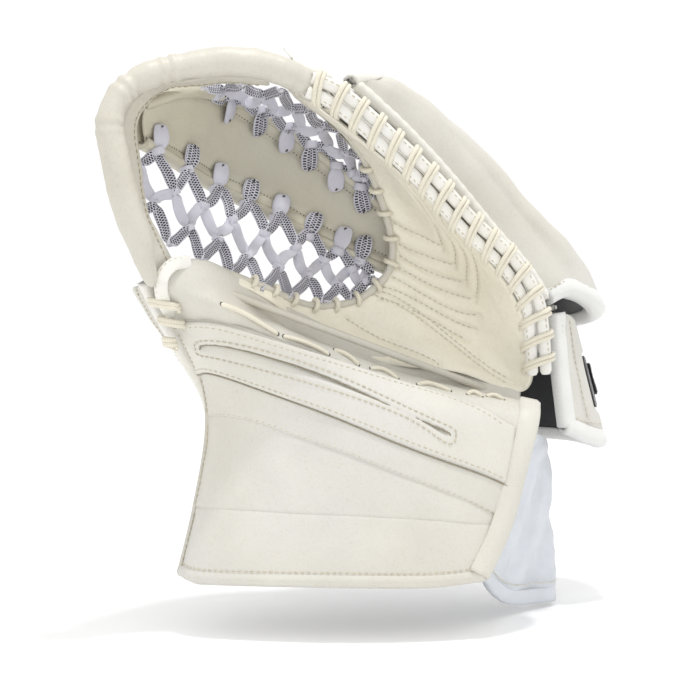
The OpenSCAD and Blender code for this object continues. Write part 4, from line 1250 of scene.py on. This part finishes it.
# Where the rim's leather gathers: how far along, over what width, and how deep
RIM_GATHERS = [(0.40, 0.04, 1.0), (0.50, 0.05, 1.6), (0.60, 0.04, 1.4), (0.92, 0.05, 0.7)]
rim_roll = wrinkled_roll("rim_padded_roll", RIM_END + RIM_PATH + [[-36, -65, 351], [-22, -52, 341]], 9.1,
                         ROLLED,
                         RIM_GATHERS, 41, 0.5)
place(rim_roll, FOLD, "rim_roll")
band_skin = Skin(band_side, WHOLE, 0.3, LEATHER, 1.5, crown=1.0, crown_width=5, rounding=1.6,
                 extra=drape(0.4, 16, 42))
place(band_skin.make("rim_inner_band", ROLLED), FOLD, "rim_band")
sew("rim_stitching", THREAD, FOLD, [band_skin.on_top([(0.02, 0.7), (0.5, 0.72), (0.98, 0.7)], 0.3)])

# ---- pocket laces --------------------------------------------------------------------------------

LACE_HALF = 3.7
LACE_THICK = 0.85
LOWER_SAG = 5.0
UPPER_SAG = 6.0
LEAF = 15.0
LEAF_HALF = 6.0
LACE_BOW = 1.5
# Share of its width a lace loses where it crosses its partner
PINCH = 0.42


def stray(p, r):
    """How far the net wanders from its even pattern, the same for both laces of a crossing."""
    field = np.stack([waves(p, 31, 26), 0.4 * waves(p, 32, 26), waves(p, 33, 22)], -1)
    return 1.9 * np.sin(math.pi * r)[:, None] * field


def strand(start, end, turns, sag, way, k):
    """One lace of a net, from the stem's edge down to the other edge. It stands on edge and narrows
    where it crosses its partner, and lies open between."""
    r = np.linspace(0, 1, 72)
    s = (k + 0.5 + way * 1.5 * r) / turns
    folded = np.where(s < 0, -s, np.where(s > 1, 2 - s, s))
    level = np.where((s < 0) | (s > 1), -way, way) * 1.3
    f = 3 * r - np.round(3 * r)
    points = along(start, folded) * (1 - r[:, None]) + along(end, folded) * r[:, None]
    points[:, 1] += sag * np.sin(math.pi * r) + level * np.cos(3 * math.pi * r)
    points += stray(points, r)
    pinch = np.exp(-((f / 0.12) ** 2))
    twist = math.pi * (np.round(3 * r) + smooth(f, -0.24, 0.24)) + 0.5 * np.sin(7.3 * k + way + 9 * r)
    half = LACE_HALF * (1 - PINCH * pinch)
    thick = LACE_THICK * (1 + 0.5 * pinch)
    sideways = unit(np.cross(tangents(points), np.broadcast_to((0.0, 1.0, 0.0), points.shape)))
    points = points + LACE_BOW * (np.sin(3 * math.pi * r) * np.sin(math.pi * r))[:, None] * sideways
    return points, sideways, half, thick, twist, 0.5


def collar(centre, radius, height, tilt):
    """Lace wrapped once round a crossing, seen as a short band across it."""
    a = np.linspace(-0.25 * math.pi, 1.25 * math.pi, 26)
    x = np.array([math.cos(tilt), 0, math.sin(tilt)])
    points = (centre + radius * np.cos(a)[:, None] * x
              - radius * 0.85 * np.sin(a)[:, None] * np.array([0, 1, 0]))
    return points, np.broadcast_to((-math.sin(tilt), 0.0, math.cos(tilt)),
                                   points.shape), height, 0.7, math.pi, 0.5


def leaf(hole, lip, out, face):
    """Doubled end of the laces: from its hole in the stem over the stem's edge, widest in the
    middle."""
    t = np.linspace(0, 1, 30)
    points = along([hole + 0.3 * out, hole + 1.6 * out, mix(hole, lip, 0.55) + 2.4 * out, lip + 1.0 * out], t)
    across = unit(np.cross(out, lip - hole))
    half = LEAF_HALF * np.sin(math.pi * (0.02 + 0.8 * t))
    return points, np.broadcast_to(across, points.shape), half, 1.1, math.pi * face + 0.3, 0.8


def net(start, end, turns, sag, edge_v, inner_v):
    """The laces of one half of the pocket, their leaves on the stem, wraps at the crossings, and dark
    plugs of painted shade in the stem's lace holes."""
    pieces, wraps, hole_shades = [], [], []
    u = np.linspace(0, 1, 400)
    edge = stem.at(u, np.full(400, edge_v))
    for k in range(turns):
        at = along(start, (k + 0.5) / turns)[0]
        near = u[np.argmin(np.linalg.norm(edge - at, axis=1))]
        out = stem.normal(near, inner_v)
        lip = stem.raised(near, edge_v, 2.0)
        inward = unit(stem.at(near, inner_v) - stem.at(near, edge_v))
        hole = lip + LEAF * inward
        foot = stem.at(near, edge_v) + LEAF * inward
        hole = hole + max(0.0, 2.4 - (hole - foot) @ out) * out
        pieces.append(leaf(hole, lip, out, k % 2))
        wraps.append(collar(lip - 1.5 * inward, 3.9, 2.6, 0.35 - 0.1 * k))
        # A dark plug in the hole: painted shade for its inside
        hole_shades.append(tube([hole - 1.5 * out, hole + 3.0 * out + 0.8 * (lip - hole) / LEAF], (1, 0, 0), 1.1))
        for way in (1, -1):
            pieces.append(strand(start, end, turns, sag, way, k))
        for row in (1, 2):
            s = (k + 0.5 + 0.5 * row) / turns
            if s < 1 and (row == 2 or k < turns - 1):
                r = row / 3
                centre = along(start, s)[0] * (1 - r) + along(end, s)[0] * r
                centre[1] += sag * math.sin(math.pi * r)
                centre += stray(centre[None], np.array([r]))[0]
                wraps.append(collar(centre, 3.3, 2.3, 0.5 * math.sin(3.1 * k + row)))
    return pieces, wraps, hole_shades


lower_laces, lower_wraps, lower_hole_shades = net(LOWER_TOP, LOWER_BOTTOM, 8, LOWER_SAG, 1.0, 0.78)
upper_laces, upper_wraps, upper_hole_shades = net(UPPER_BOTTOM, UPPER_TOP, 6, UPPER_SAG, 0.0, 0.2)
place(sweep("pocket_lace_lower", lower_laces, LACE, 14), FOLD, "lower_pocket_lace")
place(sweep("pocket_lace_upper", upper_laces, LACE, 14), "catch_side", "upper_pocket_lace")
place(sweep("pocket_wraps_lower", lower_wraps, LACE, 12), FOLD)
place(sweep("pocket_wraps_upper", upper_wraps, LACE, 12), "catch_side")
place(sweep("stem_hole_shades", lower_hole_shades + upper_hole_shades, HOLE_SHADE, 12), "catch_side")

# ---- outer lacing --------------------------------------------------------------------------------


def perimeter_frames(t):
    """Points on the perimeter with the directions towards the palm and along it."""
    ahead = unit(along(PERIMETER, np.minimum(t + 0.02, 1)) - along(PERIMETER, np.maximum(t - 0.02, 0)))
    return along(PERIMETER, t), unit(np.cross([0, 1, 0], ahead)), ahead


# How far each bound edge lies from the line between them
BOUND_EDGE = 4.6
t = np.linspace(0, 1, 260)
p, towards, ahead = perimeter_frames(t)
for name, offset, seed, nodes in (("palm_bound_edge", BOUND_EDGE, 51, "palm_edge_binding"),
                                  ("shell_bound_edge", -BOUND_EDGE, 52, "shell_edge_binding")):
    size = tapered(1.0, len(p)) * (1 + 0.04 * waves(p, seed, 20))
    centre = p + offset * towards - np.array([0, 3.0, 0])
    place(sweep(name, [tube(centre, towards, 4.1 * size, 3.4 * size, power=0.8)], SOFT_BINDING, 20), FOLD,
          nodes)
edge_thread = Thread()
for offset in (6.6, -6.6):
    stitched = p + offset * towards - np.array([0, 6.2, 0])
    forwards = np.broadcast_to((0.0, -1.0, 0.0), p.shape)
    edge_thread.row(stitched[8:-8], forwards[8:-8])
place(edge_thread.make("bound_edge_stitching", THREAD), FOLD)

loops = []
ARCH = [(9.8, 2), (10.2, -2.5), (8, -6.2), (4, -7.5), (0, -7.9), (-4, -7.5), (-8, -6.2), (-10.2, -2.5),
        (-9.8, 2)]
# Each turn is a pair of cords side by side, and the pair bows back along the edge
PAIR = 1.5
BOW = 2.0
LACING_TURNS = 17
LACING_CORD = 1.5
ARCH_POINTS = 34
steps = np.linalg.norm(np.diff(p, axis=0), axis=1)
travelled = np.concatenate([[0], np.cumsum(steps)]) / steps.sum()
for k in range(LACING_TURNS):
    q, side, forward = (x[0] for x in perimeter_frames(np.interp([(k + 0.55) / LACING_TURNS], travelled, t)))
    arch = along(ARCH, np.linspace(0, 1, ARCH_POINTS))
    bow = np.sin(np.linspace(0, math.pi, ARCH_POINTS))[:, None] * BOW
    slant = (np.linspace(1, -1, ARCH_POINTS)[:, None] * min(5.2, 2.5 + 0.7 * k) - bow) * forward
    centre = q + arch[:, :1] * side + arch[:, 1:] * np.array([0, 1, 0]) + slant
    for shift in (-PAIR, PAIR):
        loops.append(tube(centre + shift * forward, forward, tapered(LACING_CORD, ARCH_POINTS)))
place(sweep("outer_lacing_cord", loops, CORD, 14), FOLD, "perimeter_lacing")

# ---- fingers -------------------------------------------------------------------------------------

FINGER_SEAMS = [[(0.04, v), (0.45, v), (0.96, v)] for v in (0.26, 0.5, 0.74)]
shell_skin = Skin(shell, WHOLE, 0.2, LEATHER, 2.2, crown=1.8, crown_width=9, rounding=2.2,
                  seams=[(path, 1.2, 2.2) for path in FINGER_SEAMS], extra=drape(0.5, 26, 61))
place(shell_skin.make("finger_outer_leather", WHITE), "catch_side", "finger_shell")
layer("finger_padding", FOAM, "catch_side", "finger_foam", shell, (2 / 12, 11 / 12, 2 / 9, 7 / 9), -1.9,
      -6.9, 4.0, rounding=1.2)
layer("finger_stiff_board", BOARD, "catch_side", "finger_board", shell, (6 / 12, 10 / 12, 3 / 9, 6 / 9),
      -7.2, -9.2, 4.0, rounding=0.8)
layer("finger_inner_lining", LINING, "catch_side", "finger_lining", shell, (6 / 12, 1, 4 / 9, 7 / 9), -9.5,
      -10.7, 4.0, rounding=0.6)
layer("finger_gusset_leather", LIT_PALM_LEATHER, "catch_side", "finger_gusset", finger_wall, WHOLE, 1.6, 0.0, 1.8,
      crown=0.6, rounding=1.2, extra=drape(0.4, 18, 62))
sew("finger_stitching", THREAD, "catch_side",
    [beside(shell_skin, path, mm) for path in FINGER_SEAMS for mm in (2.2, -2.2)])

stalls = []
for v in (0.2, 0.34, 0.48):
    u = np.linspace(0.5, 0.64, 7)
    base, inside = palm.at(u, np.full(7, v)), -palm.normal(u, np.full(7, v))
    rise = 7.7 + np.array([0, 0.5, 1.0])[None, :] * mix(7.0, 4.0, np.linspace(0, 1, 7))[:, None]
    stalls.append(base[:, None] + rise[..., None] * inside[:, None])
walls = [Skin(Surface(stall, 1), WHOLE, 1.2, 0.0, 1.5, rounding=0.5).make(f"finger_stall_{k + 1}", LINING)
         for k, stall in enumerate(stalls)]
place(walls[0], "catch_side", "finger_dividers")
for wall in walls[1:]:
    place(wall, "catch_side")

band_path = even(HAND_STRAP_PATH, 1.5)
hand_band = sweep("hand_band", [tube(band_path, (0.3, 0, 1), 11.0, 1.2, power=0.35)], STRAP, 20)
place(hand_band, "catch_side", "hand_strap")

tab = np.array(FINGERTIP_OUTLINE, float)
tab_net = [[tab[0], tab[0] * 0.6 + tab[5] * 0.4, tab[0] * 0.25 + tab[5] * 0.75],
           [tab[1], (tab[1] + tab[5]) / 2, tab[5]],
           [tab[2], (tab[2] + tab[4]) / 2, tab[4]],
           [tab[3], tab[3] * 0.6 + tab[4] * 0.4, tab[3] * 0.25 + tab[4] * 0.75]]
layer("fingertip_loop", SOFT_BINDING, "catch_side", "fingertip_tab", Surface(tab_net, 1), WHOLE, 1.5, -1.5,
      1.0, rounding=2.5, extra=drape(0.3, 12, 71))

# ---- backhand pad --------------------------------------------------------------------------------

PAD_RIDGE = [(0.075, 0.3), (0.162, 0.338), (0.262, 0.312), (0.344, 0.4), (0.431, 0.394), (0.544, 0.356),
             (0.631, 0.419), (0.775, 0.556)]
PAD_SEAMS = [[(0.04, 0.66), (0.5, 0.64), (0.96, 0.66)]]


def pad_shape(p, u, v, edge):
    ridge = distance(p, pad.at(*even(PAD_RIDGE, 0.02).T[:2]))
    return 1.6 * np.exp(-((ridge / 6) ** 2)) + 0.7 * waves(p, 81, 34)


pad_skin = Skin(pad, WHOLE, 0.5, LEATHER, 2.2, crown=3.6, crown_width=16, rounding=3.0,
                seams=[(path, 2.0, 3.0) for path in PAD_SEAMS], extra=pad_shape)
place(pad_skin.make("backhand_leather", WHITE), "backhand_pad", "backhand_cover")
layer("backhand_padding", FOAM, "backhand_pad", "backhand_foam", pad, WHOLE, -1.9, -7.9, 4.5, rounding=1.6)
layer("backhand_inner_lining", LINING, "backhand_pad", "backhand_lining", pad, WHOLE, -8.2, -9.4, 3.5,
      rounding=0.6, extra=drape(0.15, 20, 82))
place(edge_roll("backhand_front_roll", pad, run_u(0.0, 0.02, 0.985), -0.6, -1.6, 4.4, 4.0, SOFT_BINDING),
      "backhand_pad", "backhand_binding")
bound("backhand_lip_binding", BINDING, "backhand_pad", pad, run_v(1.0, 0.02, 0.98),
      band(8, 8, 1.1, 1.0, -9.6, 3.4))
bound("backhand_end_binding", SOFT_BINDING, "backhand_pad", pad, run_v(0.0, 0.02, 0.98),
      band(6, 6, 1.0, 1.0, -9.6, 2.0))
bound("backhand_inner_edge", SOFT_BINDING, "backhand_pad", pad, run_u(1.0, 0.02, 0.98),
      band(6, 6, 1.0, 1.0, -9.6, 2.0))
sew("backhand_stitching", THREAD, "backhand_pad",
    [beside(pad_skin, path, mm) for path in PAD_SEAMS for mm in (2.8, -2.8)]
    + [pad_skin.on_top(run_v(0.945, 0.03, 0.97), 0.0)])
place(line_tube("backhand_hinge_cord", PAD_LINE, 1.5, 0.15, SOFT_BINDING), "catch_side", "backhand_piping")

# ---- wrist flap and strap ------------------------------------------------------------------------

def flap_shape(p, u, v, edge):
    """Slack leather, pressed flat where the loop cloth is sewn on."""
    sewn = smooth(u, 0.38, 0.42) * smooth(-u, -0.82, -0.79) * smooth(v, 0.31, 0.35) * smooth(-v, -0.74, -0.70)
    return 0.5 * waves(p, 91, 28) * (1 - sewn) - 1.9 * sewn


flap_skin = Skin(flap, WHOLE, 0.3, LEATHER, 2.0, crown=1.6, crown_width=10, rounding=2.0,
                 seams=[(run_u(0.22, 0.06, 0.94), 1.2, 2.2)], extra=flap_shape)
place(flap_skin.make("flap_leather", WHITE), "wrist_flap", "flap_cover")
layer("flap_padding", FOAM, "wrist_flap", "flap_foam", flap, WHOLE, -1.9, -4.9, 4.0, rounding=1.0)
layer("flap_inner_lining", LINING, "wrist_flap", "flap_lining", flap, WHOLE, -5.2, -6.4, 3.0, rounding=0.6,
      extra=drape(0.1, 20, 92))
bound("flap_front_binding", BINDING, "wrist_flap", flap, run_u(0.0, 0.0, 0.98),
      band(9, 7, 0.9, 1.0, -6.6, 2.6), "flap_binding")
bound("flap_bottom_binding", BINDING, "wrist_flap", flap, run_v(1.0), band(9, 7, 0.9, 1.1, -6.6, 2.4))
sew("flap_stitching", PALE_THREAD, "wrist_flap",
    [flap_skin.on_top(run_v(0.88, 0.05, 0.96), 0.2),
     flap_skin.on_top([(0.03, 0.06), (0.45, 0.06), (0.86, 0.06)], 0.2),
     flap_skin.on_top(run_u(0.235, 0.05, 0.86), 0.3)])
place(line_tube("flap_hinge_cord", FLAP_LINE, 2.0, 0.03, SOFT_BINDING), "catch_side", "flap_piping")
layer("loop_cloth", HOOKS, "wrist_flap", "loop_patch", flap, (6 / 14, 11 / 14, 7 / 20, 14 / 20), 1.9, 0.3,
      2.0, rounding=0.5)
layer("hook_cloth", HOOKS, "wrist_strap", "hook_patch", flap, (7 / 14, 10 / 14, 8 / 20, 12 / 20), 2.9, 2.1,
      2.0, rounding=0.4)
strap_skin = Skin(flap, (7 / 14, 10 / 14, 8 / 20, 19.6 / 20), 4.9, 3.2, 1.6, rounding=0.8,
                  extra=drape(0.25, 22, 93))
place(strap_skin.make("closing_strap", STRAP), PEEL, "wrist_strap")
strap_thread = Thread()
for u in (7.35 / 14, 9.65 / 14):
    strap_thread.row(*strap_skin.on_top([(u, 0.42), (u, 0.68), (u, 0.94)], 0.1))
for v in (0.415, 0.93):
    strap_thread.row(*strap_skin.on_top([(7.3 / 14, v), (8.5 / 14, v), (9.7 / 14, v)], 0.1))
place(strap_thread.make("strap_stitching", PALE_THREAD), PEEL)
place(line_tube("strap_hinge_cord", STRAP_LINE, 1.5, 0.0, STRAP), "wrist_flap", "strap_piping")

# ---- hanging lining ------------------------------------------------------------------------------


def folds(p, u, v, edge):
    """Slanting folds that fan out from the cloth's upper corner, and small creases."""
    slant = v * 2.2 - u * 1.5
    big = np.sin(slant * 9 + 1.3 * waves(p, 101, 60)) * smooth(edge, 0, 16)
    small = waves(p, 102, 13) * smooth(edge, 0, 8)
    return 1.5 * big + 0.5 * small


skirt_skin = Skin(skirt, WHOLE, -0.9, -1.7, 1.6, rounding=0.6, extra=folds, limp=True)
skirt_cloth = skirt_skin.make("skirt_cloth", SATIN)
place(skirt_cloth, "skirt", "skirt_panel")
hem = edge_band("skirt_hem", skirt, run_v(0.0), band(9, 9, 0.6, -0.6, -2.0, 1.4), SATIN)
place(hem, "skirt", "skirt_binding")
hem_thread = Thread()
hem_v = np.linspace(0.01, 0.99, 160)
hem_out = skirt.normal(np.full(160, 0.1), hem_v)
hem_thread.row(skirt.at(np.full(160, 0.085), hem_v) + 0.5 * hem_out, hem_out)
hem_stitches = hem_thread.make("skirt_stitching", PALE_THREAD)
place(hem_stitches, "skirt")
hinge_cord = line_tube("skirt_hinge_cord", SKIRT_LINE, 1.8, 0.05, BINDING)
place(hinge_cord, "cuff", "skirt_piping")

# ---- floor, light and camera ---------------------------------------------------------------------

FLOOR_RADIUS = 3.0
bpy.ops.mesh.primitive_circle_add(vertices=96, radius=FLOOR_RADIUS, fill_type="NGON", location=(0, 0, FLOOR))
floor = bpy.context.object
floor.name = "studio_floor"
paper = Material("studio_paper", (0.93, 0.93, 0.93, 1), 0.85)
paper.colour(paper.ramp(paper.noise(3.0, 2.0), (0.3, (0.965, 0.965, 0.965, 1)),
                        (0.7, (0.975, 0.975, 0.975, 1))))
floor.data.materials.append(paper.material)

WORLD_STRENGTH = 1.04
world = bpy.data.worlds.new("studio")
world.use_nodes = True
world.node_tree.nodes["Background"].inputs["Color"].default_value = (1, 1, 1, 1)
world.node_tree.nodes["Background"].inputs["Strength"].default_value = WORLD_STRENGTH
bpy.context.scene.world = world


def area_light(name, location, target, size, power):
    light = bpy.data.lights.new(name, "AREA")
    light.energy = power
    light.size = size
    obj = bpy.data.objects.new(name, light)
    bpy.context.scene.collection.objects.link(obj)
    obj.location = location
    direction = Vector(target) - Vector(location)
    obj.rotation_euler = direction.to_track_quat("-Z", "Y").to_euler()


area_light("top_light", (0.1, -0.3, 1.7), (-0.03, 0, 0.25), 0.12, 10.0)
area_light("front_light", (-0.7, -1.5, 0.8), (0, 0, 0.22), 0.9, 1.6)

LENS = 100
CAMERA_TILT = 86
CAMERA_PLACE = (-0.011, -1.2969, 0.2712)
camera_data = bpy.data.cameras.new("camera")
camera_data.lens = LENS
camera_data.sensor_width = 36
camera = bpy.data.objects.new("camera", camera_data)
bpy.context.scene.collection.objects.link(camera)
camera.location = CAMERA_PLACE
camera.rotation_euler = (math.radians(CAMERA_TILT), 0, 0)
bpy.context.scene.camera = camera
bpy.context.scene.view_settings.view_transform = "Standard"
